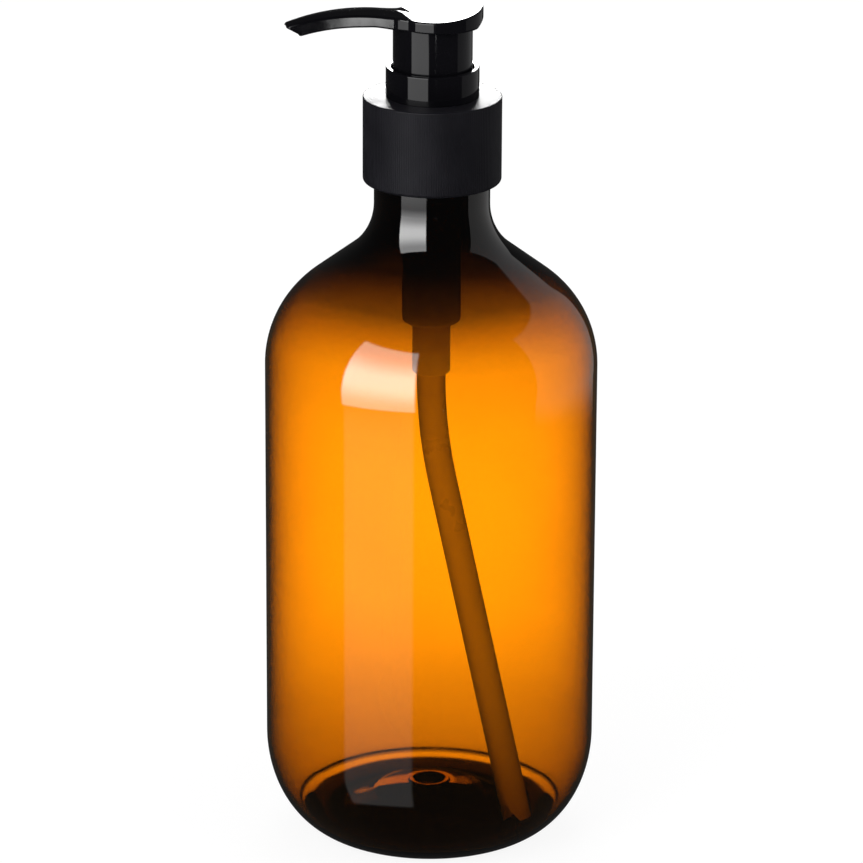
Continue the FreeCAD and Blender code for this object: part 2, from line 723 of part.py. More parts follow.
def make_actuator_head():
    """Head with dished pad and flat beak spout, skirt, stem socket and oil channel."""
    plan_height = 4 * (CREST_HEIGHT + SPOUT_DROP)
    plan = head_plan(plan_height)
    depth = 4 * (skirt_radius + PAD_OVERHANG)
    side = head_side_face().extrude(ACROSS * depth)
    side.translate(ACROSS * (-depth / 2))
    plate = plan.common(side)
    rims = [edge for edge in plate.Edges if edge.BoundBox.XLength > SAME_PLACE]
    plate = plate.makeFillet(HEAD_EDGE_ROUND, rims)
    skirt = turned(polygon([
        (skirt_radius - SKIRT_WALL, skirt_bottom),
        (skirt_radius, skirt_bottom, HEAD_EDGE_ROUND),
        (skirt_radius, head_underside + PAD_TIP_HEIGHT - PAD_RIM),
        (skirt_radius - SKIRT_WALL, head_underside + PAD_TIP_HEIGHT - PAD_RIM),
    ]))
    socket_bore_radius = stem_radius + PUSH_CLEARANCE
    socket = turned(polygon([
        (socket_bore_radius, socket_bottom),
        (socket_bore_radius + SOCKET_WALL, socket_bottom),
        (socket_bore_radius + SOCKET_WALL, head_underside + CHANNEL_ROOF),
        (socket_bore_radius, head_underside + CHANNEL_ROOF),
    ]))
    head = plate.fuse([skirt, socket]).removeSplitter()
    bore = Part.makeCylinder(socket_bore_radius, CHANNEL_ROOF, FreeCAD.Vector(0, 0, head_underside - CHANNEL_ROOF))
    channel_top = head_underside + TROUGH_HEIGHT - CHANNEL_ROOF
    channel_bottom = channel_top - CHANNEL_HEIGHT
    channel_side = polygon([
        (port_radius, channel_top),
        (CHANNEL_BEND_X, channel_top),
        (-SPOUT_REACH, channel_top - CHANNEL_FALL),
        (-SPOUT_REACH, channel_bottom - CHANNEL_FALL),
        (CHANNEL_BEND_X, channel_bottom),
        (port_radius, channel_bottom),
    ])
    channel = Part.Face(channel_side).extrude(ACROSS * CHANNEL_WIDTH)
    channel.translate(ACROSS * (-CHANNEL_WIDTH / 2))
    port = Part.makeCylinder(port_radius, channel_top - head_underside, FreeCAD.Vector(0, 0, head_underside))
    return head.cut([bore, channel, port])


MAKERS = {
    "bottle": make_bottle,
    "screw_collar": make_screw_collar,
    "neck_gasket": make_neck_gasket,
    "chaplet": make_chaplet,
    "pump_housing": make_pump_housing,
    "dip_tube": make_dip_tube,
    "inlet_ball": make_inlet_ball,
    "return_spring": make_return_spring,
    "piston": make_piston,
    "piston_rod": make_piston_rod,
    "stem": make_stem,
    "outlet_ball": make_outlet_ball,
    "actuator_head": make_actuator_head,
}

os.makedirs("parts", exist_ok=True)
for name, make in MAKERS.items():
    shape = make()
    shape.exportStep("parts/" + name + ".step")
    print(name, "solids", len(shape.Solids), "volume", round(shape.Volume, 1), "valid", shape.isValid())
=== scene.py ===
import logging
import math
from contextlib import contextmanager
from dataclasses import dataclass
from enum import Enum
from typing import Callable, Iterator

import bpy
from mathutils import Matrix, Vector


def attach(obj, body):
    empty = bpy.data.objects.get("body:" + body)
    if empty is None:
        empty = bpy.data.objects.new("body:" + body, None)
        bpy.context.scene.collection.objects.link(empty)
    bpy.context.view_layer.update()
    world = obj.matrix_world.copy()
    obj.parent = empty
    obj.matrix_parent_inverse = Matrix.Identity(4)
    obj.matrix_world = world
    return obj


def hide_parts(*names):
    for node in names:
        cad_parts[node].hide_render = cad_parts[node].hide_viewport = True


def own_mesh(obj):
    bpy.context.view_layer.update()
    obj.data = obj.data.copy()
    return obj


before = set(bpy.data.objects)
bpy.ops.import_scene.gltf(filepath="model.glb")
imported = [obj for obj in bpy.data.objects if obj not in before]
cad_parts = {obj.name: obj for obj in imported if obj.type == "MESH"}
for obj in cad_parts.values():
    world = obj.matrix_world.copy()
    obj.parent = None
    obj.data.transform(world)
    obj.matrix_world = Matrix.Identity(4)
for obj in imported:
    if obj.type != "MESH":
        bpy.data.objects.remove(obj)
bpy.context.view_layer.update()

Point = tuple[float, float]
Colour = tuple[float, float, float]
Piece = bpy.types.Object
Socket = bpy.types.NodeSocket

# Sizes are written in millimetres and degrees, and turned into Blender's metres where a mesh is made
MM = 0.001
WELD = 1e-6
SMOOTH_ANGLE = 32.0
PHOTO_WIDTH = 863

# Most of Blender's soft noise lies between these two values
NOISE_LOW = 0.3
NOISE_HIGH = 0.7

log = logging.getLogger("pump_oil_bottle")


class Slot(Enum):
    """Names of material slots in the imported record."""

    AMBER = "amber_clear_plastic"
    MATTE_BLACK = "matte_black_plastic"
    GLOSS_BLACK = "gloss_black_plastic"
    SPRING_STEEL = "spring_steel"


class Element(Enum):
    """Kind of mesh element that is picked while a mesh is edited."""

    VERTEX = "VERT"
    EDGE = "EDGE"
    FACE = "FACE"


class Cut(Enum):
    """What a tool shape does to a piece."""

    JOIN = "UNION"
    REMOVE = "DIFFERENCE"


def blend(start: float, end: float, value: float) -> float:
    """Smooth step of a value, from 0 at start to 1 at end."""
    share = min(max((value - start) / (end - start), 0.0), 1.0)
    return share * share * (3 - 2 * share)


def fade(start: float, end: float, value: float) -> float:
    """Smooth step of a value, from 1 at start to 0 at end."""
    return 1 - blend(start, end, value)


def table_value(stops: tuple[Point, ...], place: float) -> float:
    """Reads a table of (place, value) stops with straight lines between them.

    Args:
        stops: Stops in rising order of place.
        place: Where to read the table.

    Returns:
        The value there, level beyond both ends.
    """
    if place <= stops[0][0]:
        return stops[0][1]
    for (low, first), (high, second) in zip(stops, stops[1:]):
        if place <= high:
            return first + (second - first) * (place - low) / (high - low)
    return stops[-1][1]


def oval(centre: Point, half_width: float, half_height: float, start: float, end: float, count: int) -> list[Point]:
    """Points along part of an ellipse in a half section.

    Args:
        centre: Radius and height of its centre.
        half_width: Half its width.
        half_height: Half its height.
        start: Angle of the first point, from outwards towards up.
        end: Angle of the last point.
        count: Number of stretches.

    Returns:
        The points, both ends included.
    """
    points = []
    for number in range(count + 1):
        angle = math.radians(start + (end - start) * number / count)
        points.append((centre[0] + half_width * math.cos(angle), centre[1] + half_height * math.sin(angle)))
    return points


def arc(centre: Point, radius: float, start: float, end: float, count: int) -> list[Point]:
    """Points along part of a circle in a half section, with the arguments of oval."""
    return oval(centre, radius, radius, start, end, count)


def level_arc(level: Point, other: Point) -> float:
    """Radius of the arc that leaves one point level and passes through another."""
    return math.dist(level, other) ** 2 / (2 * abs(other[1] - level[1]))


def straight(start: Point, end: Point, count: int) -> list[Point]:
    """Evenly spaced points on a straight line of some stretches, both ends included."""
    shares = [number / count for number in range(count + 1)]
    return [(start[0] + (end[0] - start[0]) * share, start[1] + (end[1] - start[1]) * share) for share in shares]


def upright(radius: float, start: float, end: float, count: int) -> list[Point]:
    """Evenly spaced points from one height to another at one radius."""
    return straight((radius, start), (radius, end), count)


def rounded(corners: list[tuple[float, ...]], count: int = 5) -> list[Point]:
    """Closed outline through corners, where a third number rounds a corner.

    Args:
        corners: Radius, height and, if wanted, the corner's round.
        count: Number of stretches in each round.

    Returns:
        The outline's points.
    """
    outline: list[Point] = []
    for index, corner in enumerate(corners):
        here = Vector(corner[:2])
        if len(corner) == 2:
            outline.append((here.x, here.y))
            continue
        back = (Vector(corners[index - 1][:2]) - here).normalized()
        onward = (Vector(corners[(index + 1) % len(corners)][:2]) - here).normalized()
        half = back.angle(onward) / 2
        centre = here + (back + onward).normalized() * corner[2] / math.sin(half)
        start = here + back * corner[2] / math.tan(half) - centre
        finish = here + onward * corner[2] / math.tan(half) - centre
        turn = start.angle_signed(finish)
        for number in range(count + 1):
            arm = start.copy()
            arm.rotate(Matrix.Rotation(-turn * number / count, 2))
            outline.append((centre.x + arm.x, centre.y + arm.y))
    return outline


def merged(*stretches: list[Point]) -> list[Point]:
    """Joins stretches into one outline, without the points that repeat at the joins.

    Args:
        stretches: Lists of points in order.

    Returns:
        The outline's points.
    """
    outline: list[Point] = []
    for point in (point for stretch in stretches for point in stretch):
        if not outline or math.dist(outline[-1], point) > WELD:
            outline.append(point)
    return outline


def clear_selection() -> None:
    """Leaves edit mode and deselects every object."""
    if bpy.context.mode != "OBJECT":
        bpy.ops.object.mode_set(mode="OBJECT")
    bpy.ops.object.select_all(action="DESELECT")


def pick(piece: Piece) -> None:
    """Makes one object the only selected and active one.

    Args:
        piece: The object.
    """
    clear_selection()
    piece.select_set(True)
    bpy.context.view_layer.objects.active = piece


@contextmanager
def editing(kind: Element) -> Iterator[None]:
    """Opens the active object's mesh for editing and closes it again.

    Args:
        kind: Kind of element that is picked.

    Returns:
        Nothing to use: the mesh is open while the with block runs.
    """
    bpy.ops.object.mode_set(mode="EDIT")
    bpy.ops.mesh.select_mode(type=kind.value)
    yield
    bpy.ops.object.mode_set(mode="OBJECT")


def close_mesh() -> None:
    """In edit mode, welds what coincides and turns all faces outwards."""
    bpy.ops.mesh.select_all(action="SELECT")
    bpy.ops.mesh.remove_doubles(threshold=WELD)
    bpy.ops.mesh.normals_make_consistent(inside=False)


def turned(name: str, outline: list[Point], steps: int, closed: bool) -> Piece:
    """Draws a half section by extruding one vertex along it, and spins it about the Z axis.

    Args:
        name: Name of the new piece.
        outline: Radius and height of the section's points.
        steps: Number of faces round the piece.
        closed: True if the section's last point joins its first.

    Returns:
        The turned piece.
    """
    clear_selection()
    bpy.ops.mesh.primitive_plane_add(size=MM)
    piece = bpy.context.object
    piece.name = piece.data.name = name
    route = outline + outline[:1] if closed else outline
    places = [Vector((radius, 0, height)) * MM for radius, height in route]
    with editing(Element.VERTEX):
        bpy.ops.mesh.select_all(action="SELECT")
        bpy.ops.mesh.merge(type="CENTER")
        bpy.ops.transform.translate(value=places[0])
        for before, after in zip(places, places[1:]):
            bpy.ops.mesh.extrude_region_move(TRANSFORM_OT_translate={"value": after - before})
        bpy.ops.mesh.select_all(action="SELECT")
        bpy.ops.mesh.remove_doubles(threshold=WELD)
        bpy.ops.mesh.spin(steps=steps, angle=math.tau, center=(0, 0, 0), axis=(0, 0, 1))
        close_mesh()
    return piece


def swell(piece: Piece, growth: Callable[[float, float, float], float]) -> None:
    """Moves the vertices of a turned piece outwards by what a rule says.

    Args:
        piece: Piece to shape.
        growth: Rule from a vertex's radius, angle in degrees and height to its move, all in millimetres.
    """
    for vertex in piece.data.vertices:
        x, y, height = vertex.co / MM
        radius = math.hypot(x, y)
        change = growth(radius, math.degrees(math.atan2(y, x)), height)
        grow = (radius + change) / radius if change else 1.0
        vertex.co = Vector((x * grow, y * grow, height)) * MM
    piece.data.update()


def smooth(piece: Piece) -> None:
    """Shades a piece smooth, with its real edges kept crisp.

    Args:
        piece: The piece.
    """
    pick(piece)
    bpy.ops.object.shade_smooth_by_angle(angle=math.radians(SMOOTH_ANGLE))
    clear_selection()


def boolean(piece: Piece, tool: Piece, cut: Cut) -> None:
    """Joins or cuts a piece with a tool shape and removes the tool.

    Args:
        piece: Piece to change.
        tool: Closed shape to join or to cut with.
        cut: Whether the tool is joined to the piece or taken out of it.
    """
    pick(piece)
    modifier = piece.modifiers.new("work", "BOOLEAN")
    modifier.operation = cut.value
    modifier.solver = "EXACT"
    modifier.object = tool
    bpy.ops.object.modifier_apply(modifier=modifier.name)
    bpy.data.objects.remove(tool)
    clear_selection()


def place_piece(piece: Piece, body: str, slot: Slot, material: bpy.types.Material, *nodes: str) -> None:
    """Gives a piece its material and ties it to the frame.

    Args:
        piece: Finished piece.
        body: Body that carries it.
        slot: Slot of the record; not used.
        material: Its one material.
        nodes: CAD nodes that it stands for.
    """
    piece.data.materials.clear()
    piece.data.materials.append(material)
    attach(piece, body)
    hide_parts(*nodes)
    log.info("%s: %d faces on %s", piece.name, len(piece.data.polygons), body)


class NodeBench:
    """Lays out the nodes of one tree."""

    def __init__(self, tree: bpy.types.NodeTree) -> None:
        """Takes the node tree to work in."""
        self.tree = tree

    def add(self, kind: str, inputs: dict | None = None, **settings: object) -> bpy.types.Node:
        """Adds a node.

        Args:
            kind: Blender's name for the node type, without its ShaderNode prefix.
            inputs: Socket names or numbers with a value, or with an output to link.
            settings: Properties of the node.

        Returns:
            The new node.
        """
        node = self.tree.nodes.new("ShaderNode" + kind)
        for key, value in settings.items():
            setattr(node, key, value)
        for key, value in (inputs or {}).items():
            if isinstance(value, Socket):
                self.tree.links.new(value, node.inputs[key])
            else:
                node.inputs[key].default_value = value
        return node

    def math(self, operation: str, *values: object) -> Socket:
        """Adds a Math node on numbers or outputs and returns its result."""
        return self.add("Math", dict(enumerate(values)), operation=operation).outputs[0]

    def facing(self) -> Socket:
        """Adds how far a surface turns away from the eye, from 0 head on to 1 at its edge, and returns it."""
        return self.add("LayerWeight", {"Blend": 0.5}).outputs["Facing"]

    def straight_through(self) -> Socket:
        """Adds the nodes that tell a ray that came straight through the wall from one thrown back inside it.

        Returns:
            Socket with 1 for a ray that came straight through, else 0.
        """
        path = self.add("LightPath").outputs
        unturned = self.math("SUBTRACT", 1.0, self.math("MINIMUM", path["Glossy Depth"], 1.0))
        return self.math("MULTIPLY", path["Is Transmission Ray"], unturned)

    def carry(self, value: Socket, source: Point, target: Point, **settings: object) -> Socket:
        """Adds a Map Range node that carries one range of values to another, and returns its result."""
        inputs = dict(zip(("Value", "From Min", "From Max", "To Min", "To Max"), (value, *source, *target)))
        return self.add("MapRange", inputs, **settings).outputs[0]

    def spread(self, value: Socket, low: float, high: float) -> Socket:
        """Spreads noise between two values and returns the result."""
        return self.carry(value, (NOISE_LOW, NOISE_HIGH), (low, high))

    def ramp(self, value: Socket, stops: list[tuple[float, Colour]]) -> Socket:
        """Adds a colour ramp.

        Args:
            value: Output that reads the ramp.
            stops: Positions from 0 to 1 with their colours.

        Returns:
            The colour's socket.
        """
        node = self.add("ValToRGB", {"Fac": value})
        elements = node.color_ramp.elements
        while len(elements) < len(stops):
            elements.new(1.0)
        for element, (position, colour) in zip(elements, stops):
            element.position = position
            element.color = (*colour, 1.0)
        return node.outputs[0]


class Material:
    """A new material with its bench, its shader and coordinates fixed to the object."""

    def __init__(self, name: str) -> None:
        """Makes the material with Blender's usual shader.

        Args:
            name: Name of the material.
        """
        self.data = bpy.data.materials.new(name)
        self.data.use_nodes = True
        self.bench = NodeBench(self.data.node_tree)
        self.shader = self.data.node_tree.nodes["Principled BSDF"]
        self.output = self.data.node_tree.nodes["Material Output"]
        self.place = self.bench.add("TexCoord").outputs["Object"]

    def set(self, **values: object) -> None:
        """Sets or links the shader's sockets.

        Args:
            values: A value or an output for each socket, named with underscores for spaces.
        """
        for key, value in values.items():
            socket = self.shader.inputs[key.replace("_", " ")]
            if isinstance(value, Socket):
                self.data.node_tree.links.new(value, socket)
            else:
                socket.default_value = value

    def noise(self, size: float, detail: float) -> Socket:
        """Adds soft noise with patches of a size in millimetres and returns its value."""
        inputs = {"Vector": self.place, "Scale": 1 / (size * MM), "Detail": detail}
        return self.bench.add("TexNoise", inputs).outputs[0]

    def relief(self, height: Socket, depth: float, strength: float) -> None:
        """Gives the surface a fine relief of a depth in millimetres, of which a share shows."""
        inputs = {"Height": height, "Distance": depth * MM, "Strength": strength}
        self.set(Normal=self.bench.add("Bump", inputs).outputs[0])


@dataclass(frozen=True)
class MouldedPlastic:
    """Opaque moulded plastic: cloudy shade, uneven gloss and a fine moulded skin.

    Sizes of patches and grain are in millimetres.
    """

    name: str
    colour: Colour
    patch_colour: Colour
    roughness: tuple[float, float]
    patch_size: float
    grain_size: float
    grain_depth: float
    gloss: float = 0.5

    def make(self) -> bpy.types.Material:
        """Lays out the finish.

        Returns:
            The finished material.
        """
        material = Material(self.name)
        bench = material.bench
        patches = material.noise(self.patch_size, detail=3.0)
        grain = material.noise(self.grain_size, detail=2.0)
        material.set(
            Base_Color=bench.ramp(patches, [(NOISE_LOW, self.colour), (NOISE_HIGH, self.patch_colour)]),
            Roughness=bench.spread(material.noise(self.patch_size / 2, detail=4.0), *self.roughness),
            Specular_IOR_Level=self.gloss,
        )
        material.relief(grain, self.grain_depth, strength=0.6)
        return material.data


@dataclass(frozen=True)
class CloudyTube:
    """Half clear tube plastic with painted shade towards its edges, where a backlit tube looks darker, partly for the
    longer way light takes through the wall there.
    """

    name: str = "cloudy_tube_plastic"
    colour: Colour = (0.95, 0.86, 0.68)
    patch_colour: Colour = (0.97, 0.89, 0.72)
    # Painted shade at the edges: the share of colour left there, and where on the facing ramp it is reached
    painted_edge_share: float = 0.36
    edge_place: float = 0.75
    clear: float = 0.15
    roughness: tuple[float, float] = (0.25, 0.40)
    patch_size: float = 14.0

    def make(self) -> bpy.types.Material:
        """Lays out the finish.

        Returns:
            The finished material.
        """
        material = Material(self.name)
        bench = material.bench
        patches = material.noise(self.patch_size, detail=3.0)
        shade = bench.ramp(patches, [(NOISE_LOW, self.colour), (NOISE_HIGH, self.patch_colour)])
        # Painted shade, darker towards the tube's edges
        painted_edge_shade = bench.ramp(bench.facing(), [(0.0, (1.0, 1.0, 1.0)), (self.edge_place, (self.painted_edge_share,) * 3)])
        material.set(
            Base_Color=bench.add("VectorMath", {0: shade, 1: painted_edge_shade}, operation="MULTIPLY").outputs["Vector"],
            Roughness=bench.spread(material.noise(self.patch_size / 2, detail=4.0), *self.roughness),
            Transmission_Weight=self.clear,
        )
        return material.data


@dataclass(frozen=True)
class BrightSteel:
    """Drawn or ground steel with fine streaks."""

    name: str
    colour: Colour
    dull_colour: Colour
    roughness: tuple[float, float]
    streak_size: float
    streak_depth: float = 0.01
    dull_place: float = 0.35
    bright_place: float = 0.65

    def make(self) -> bpy.types.Material:
        """Lays out the finish.

        Returns:
            The finished material.
        """
        material = Material(self.name)
        bench = material.bench
        streaks = material.noise(self.streak_size, detail=5.0)
        material.set(
            Base_Color=bench.ramp(streaks, [(self.dull_place, self.dull_colour), (self.bright_place, self.colour)]),
            Roughness=bench.spread(streaks, *self.roughness),
            Metallic=1.0,
        )
        material.relief(streaks, self.streak_depth, strength=0.4)
        return material.data


@dataclass(frozen=True)
class AmberWall:
    """Clear amber blown plastic with painted shade: darker towards its silhouette and, by the wall's attribute, towards
    the base, shoulder and neck, which partly stands for thicker wall, with painted light in the base.

    The wall's attribute runs from 0, darkest, to 1, clearest.
    """

    name: str = "amber_blown_plastic"
    attribute: str = "painted_wall_clearness"
    # Ramp of the painted shade, from clear amber to nearly black
    clear: Colour = (1.0, 0.58, 0.045)
    middle: Colour = (0.42, 0.215, 0.014)
    middle_place: float = 0.4
    dark: Colour = (0.0004, 0.0001, 0.00005)
    # How sharply the painted shade darkens towards the silhouette
    edge_power: float = 2.3
    ior: float = 1.57
    roughness: tuple[float, float] = (0.015, 0.05)
    cloud_shares: tuple[float, float] = (0.95, 1.0)
    wave_size: float = 26.0
    wave_depth: float = 0.12
    absorbed: Colour = (0.915, 0.83, 0.30)
    density: float = 1300.0

    def make(self) -> bpy.types.Material:
        """Lays out the finish.

        Returns:
            The finished material.
        """
        material = Material(self.name)
        bench = material.bench
        painted_clearness = bench.add("Attribute", attribute_name=self.attribute).outputs["Fac"]
        clouds = bench.spread(material.noise(self.wave_size, detail=2.0), *self.cloud_shares)
        # Painted shade towards the silhouette, partly standing for the longer path through the wall
        across = bench.math("SUBTRACT", 1.0, bench.math("POWER", bench.facing(), self.edge_power))
        shade = bench.math("MULTIPLY", bench.math("MULTIPLY", painted_clearness, clouds), across)
        waves = material.noise(self.wave_size, detail=1.0)
        material.set(
            Base_Color=bench.ramp(shade, [(0.0, self.dark), (self.middle_place, self.middle), (1.0, self.clear)]),
            Roughness=bench.spread(material.noise(self.wave_size / 3, detail=3.0), *self.roughness),
            IOR=self.ior,
            Transmission_Weight=1.0,
        )
        material.relief(waves, self.wave_depth, strength=0.5)
        inside = bench.add("VolumeAbsorption", {"Color": (*self.absorbed, 1.0), "Density": self.density})
        bench.tree.links.new(inside.outputs[0], material.output.inputs["Volume"])
        return material.data


@dataclass(frozen=True)
class ThreadRidge:
    """One right-hand thread ridge round the Z axis."""

    start_height: float
    turns: float
    depth: float
    foot_width: float
    crest_width: float
    pitch: float = 4.233
    start_angle: float = 20.0
    run_in: float = 35.0

    def rise(self, angle: float, height: float) -> float:
        """Height of the ridge over its land at one place.

        Args:
            angle: Angle about the Z axis in degrees.
            height: Height in millimetres.

        Returns:
            The ridge's rise in millimetres, 0 beside it.
        """
        most = 0.0
        along = (angle - self.start_angle) % 360
        while along <= self.turns * 360:
            middle = self.start_height + self.pitch * along / 360
            ends = min(along, self.turns * 360 - along)
            off = abs(height - middle)
            flank = fade(self.crest_width / 2, self.foot_width / 2, off)
            most = max(most, self.depth * flank * blend(0, self.run_in, ends))
            along += 360
        return most


@dataclass(frozen=True)
class PaintedStreak:
    """Painted light: a bright streak in the dark base, from one place of the plan to another."""

    start: Point
    end: Point
    half_width: float
    share: float
    core: float = 0.3

    def at(self, place: Point, spread: float) -> float:
        """How much painted light the streak gives one place.

        Args:
            place: Place of the plan in millimetres.
            spread: Millimetres by which the streak is widened.

        Returns:
            A share from 0, outside the streak, to the streak's own in its middle.
        """
        start, end, there = Vector(self.start), Vector(self.end), Vector(place)
        along = max(0.0, min(1.0, (there - start).dot(end - start) / (end - start).length_squared))
        off = (there - start.lerp(end, along)).length
        return self.share * fade(self.core * self.half_width + spread, self.half_width + spread, off)


@dataclass(frozen=True)
class Bottle:
    """Blown amber bottle: pushed-up base, heel, wall, shoulder, throat and threaded neck."""

    body_radius: float = 37.5
    wall: float = 0.8
    height: float = 168.4
    heel_centre: Point = (20.7, 22.75)
    heel_width: float = 16.8
    heel_depth: float = 23.3889
    heel_wall: float = 1.2
    foot_radius: float = 24.6
    foot_width: float = 1.8
    push_up: float = 7.4
    base_flat: float = 12.0
    floor_height: float = 3.8
    floor_edge: float = 29.0
    dome_edge: float = 20.0
    dome_top: float = 9.8
    shoulder_centre: Point = (12.7, 111.0)
    shoulder_radius: float = 24.8
    shoulder_angle: float = 52.8
    throat_centre: Point = (26.7, 148.7)
    throat_radius: float = 13.7
    neck_radius: float = 13.0
    land_radius: float = 12.6
    land_bottom: float = 155.4
    land_slack: float = 0.01
    bore_radius: float = 10.9
    rim_round: float = 0.4
    gate_radius: float = 3.0
    gate_section: tuple[Point, ...] = ((1.08, -0.15), (0.92, -0.55), (0.72, -0.9), (0.4, -1.05), (0.0, -1.1))
    gate_lip_radius: float = 4.9
    gate_lip_section: tuple[Point, ...] = ((0.92, 0.05), (0.84, 0.12), (0.74, 0.10))
    floor_round: float = 0.7
    heel_ease: float = 2.0
    dome_ease: float = 0.4
    steps: int = 192
    finish: AmberWall = AmberWall()
    thread: ThreadRidge = ThreadRidge(159.2, turns=1.5, depth=1.05, foot_width=2.5, crest_width=0.9)
    # Painted light: bright streaks in the dark base
    painted_streaks: tuple[PaintedStreak, ...] = (
        PaintedStreak((-4.5, 1.6), (-13.5, 4.6), half_width=3.6, share=0.95),
        PaintedStreak((-11.4, 6.4), (-4.8, 10.6), half_width=0.9, share=0.8),
        PaintedStreak((7.0, -1.0), (11.5, 2.5), half_width=2.6, share=0.1),
    )
    # Painted shade of the base, with painted light on a ring near the floor's edge and round the gate's lip
    base_middle: tuple[Point, ...] = ((0.0, 8.0), (10.0, 7.2), (20.0, 2.85), (26.0, 2.4), (28.9, 3.1), (30.5, 4.5))
    base_reach: Point = (1.5, 1.0)
    painted_base_shade: float = 0.0006
    underside_spread: float = 3.5
    ring_inset: float = 0.3
    ring_fade: Point = (0.5, 1.4)
    ring_share: float = 0.85
    lip_fade: Point = (0.6, 1.5)
    lip_share: float = 0.95
    # Painted shade by height: darker towards the base, shoulder and neck, partly standing for thicker wall
    painted_shade_by_height: tuple[Point, ...] = (
        (0.0, 0.10), (3.0, 0.24), (6.0, 0.48), (12.3, 0.53), (19.4, 0.60), (29.5, 0.78), (34.4, 0.84),
        (41.7, 0.93), (48.8, 0.96), (60.0, 1.0), (96.0, 1.0), (105.0, 0.94), (114.0, 0.82), (118.7, 0.77),
        (122.8, 0.60), (126.6, 0.38), (130.0, 0.16), (133.3, 0.035), (137.0, 0.014), (142.0, 0.016), (170.0, 0.025),
    )

    def outside(self) -> list[Point]:
        """Draws the outer half section.

        Returns:
            Its points, from the axis under the base to the rim.
        """
        inner_foot = self.foot_radius - self.foot_width
        dome_radius = (inner_foot ** 2 + self.push_up ** 2) / (2 * self.push_up)
        dome_centre = (0.0, self.push_up - dome_radius)
        dome_end = math.degrees(math.atan2(-dome_centre[1], inner_foot))
        flat_start = math.degrees(math.acos(self.base_flat / dome_radius))
        flat_height = dome_centre[1] + math.sqrt(dome_radius ** 2 - self.base_flat ** 2)
        heel_start = math.degrees(math.asin((self.foot_radius - self.heel_centre[0]) / self.heel_width)) - 90
        return merged(
            straight((0.0, flat_height), (self.base_flat, flat_height), count=12),
            arc(dome_centre, dome_radius, flat_start, dome_end, count=24),
            straight((inner_foot, 0.0), (self.foot_radius, 0.0), count=3),
            oval(self.heel_centre, self.heel_width, self.heel_depth, heel_start, 0, count=44),
            upright(self.body_radius, self.heel_centre[1], self.shoulder_centre[1], count=14),
            arc(self.shoulder_centre, self.shoulder_radius, 0, self.shoulder_angle, count=36),
            arc(self.throat_centre, self.throat_radius, 180 + self.shoulder_angle, 180, count=24),
            upright(self.neck_radius, self.throat_centre[1], self.land_bottom, count=4),
            upright(self.land_radius, self.land_bottom, self.height - self.rim_round, count=52),
            arc((self.land_radius - self.rim_round, self.height - self.rim_round), self.rim_round, 0, 90, count=4),
        )

    def inside(self) -> list[Point]:
        """Draws the inner half section.

        Returns:
            Its points, from the rim down to the axis over the base.
        """
        rise = self.dome_top - self.floor_height
        dome_radius = (self.dome_edge ** 2 + rise ** 2) / (2 * rise)
        dome_centre = (0.0, self.dome_top - dome_radius)
        dome_start = math.degrees(math.atan2(self.floor_height - dome_centre[1], self.dome_edge))
        lip_angle = math.degrees(math.acos(self.gate_lip_radius / dome_radius))
        throat_inner = self.throat_radius + self.neck_radius - self.bore_radius
        heel_width = self.heel_width - self.wall
        heel_depth = self.heel_depth - self.heel_wall
        heel_end = -math.degrees(math.asin((self.heel_centre[1] - self.floor_height) / heel_depth))
        lip = [(self.gate_lip_radius * part, self.dome_top + lift) for part, lift in self.gate_lip_section]
        gate = [(self.gate_radius * part, self.dome_top + lift) for part, lift in self.gate_section]
        floor_start, floor_end = self.floor_edge - self.floor_round, self.dome_edge + self.floor_round
        return merged(
            [(self.bore_radius + self.rim_round, self.height)],
            upright(self.bore_radius, self.height - self.rim_round, self.throat_centre[1], count=8),
            arc(self.throat_centre, throat_inner, 180, 180 + self.shoulder_angle, count=24),
            arc(self.shoulder_centre, self.shoulder_radius - self.wall, self.shoulder_angle, 0, count=36),
            upright(self.body_radius - self.wall, self.shoulder_centre[1], self.heel_centre[1], count=14),
            oval(self.heel_centre, heel_width, heel_depth, 0, heel_end + self.heel_ease, count=44),
            straight((floor_start, self.floor_height), (floor_end, self.floor_height), count=8),
            arc(dome_centre, dome_radius, dome_start + self.dome_ease, lip_angle, count=28),
            lip,
            gate,
        )

    def base_painted_clearness(self, place: Vector) -> float:
        """Painted shade of the base, which partly stands for its thick plastic, with painted light on a ring near the
        floor's edge, round the gate's lip and along the streaks.

        Args:
            place: Place on the wall in millimetres.

        Returns:
            A share from 0, darkest, to 1, clearest.
        """
        radius = math.hypot(place.x, place.y)
        spread = self.underside_spread if place.z < table_value(self.base_middle, radius) else 0.0
        ring_off = abs(radius - self.floor_edge + self.ring_inset)
        ring = self.ring_share * fade(*(width + spread for width in self.ring_fade), ring_off)
        lip_off = abs(radius - self.gate_lip_radius)
        lip = self.lip_share * fade(*(width + spread for width in self.lip_fade), lip_off)
        streak_light = max(mark.at((place.x, place.y), spread) for mark in self.painted_streaks)
        return max(self.painted_base_shade, ring, lip, streak_light if radius > self.gate_lip_radius - spread else 0.0)

    def painted_clearness(self, place: Vector) -> float:
        """How clear the amber is painted at one place of the wall: painted shade by height, which partly stands for
        thicker wall, and the base's painted shade and light.

        Args:
            place: Place on the wall in millimetres.

        Returns:
            A share from 0, darkest, to 1, clearest.
        """
        wide, high = self.base_reach
        if place.z < self.dome_top + high and math.hypot(place.x, place.y) < self.floor_edge + wide:
            return self.base_painted_clearness(place)
        return table_value(self.painted_shade_by_height, place.z)

    def build(self) -> Piece:
        """Builds one closed wall, with its painted shade and light as an attribute.

        Returns:
            The bottle.
        """
        piece = turned("amber_bottle", merged(self.outside(), self.inside()), self.steps, closed=False)
        edge = self.land_radius - self.land_slack

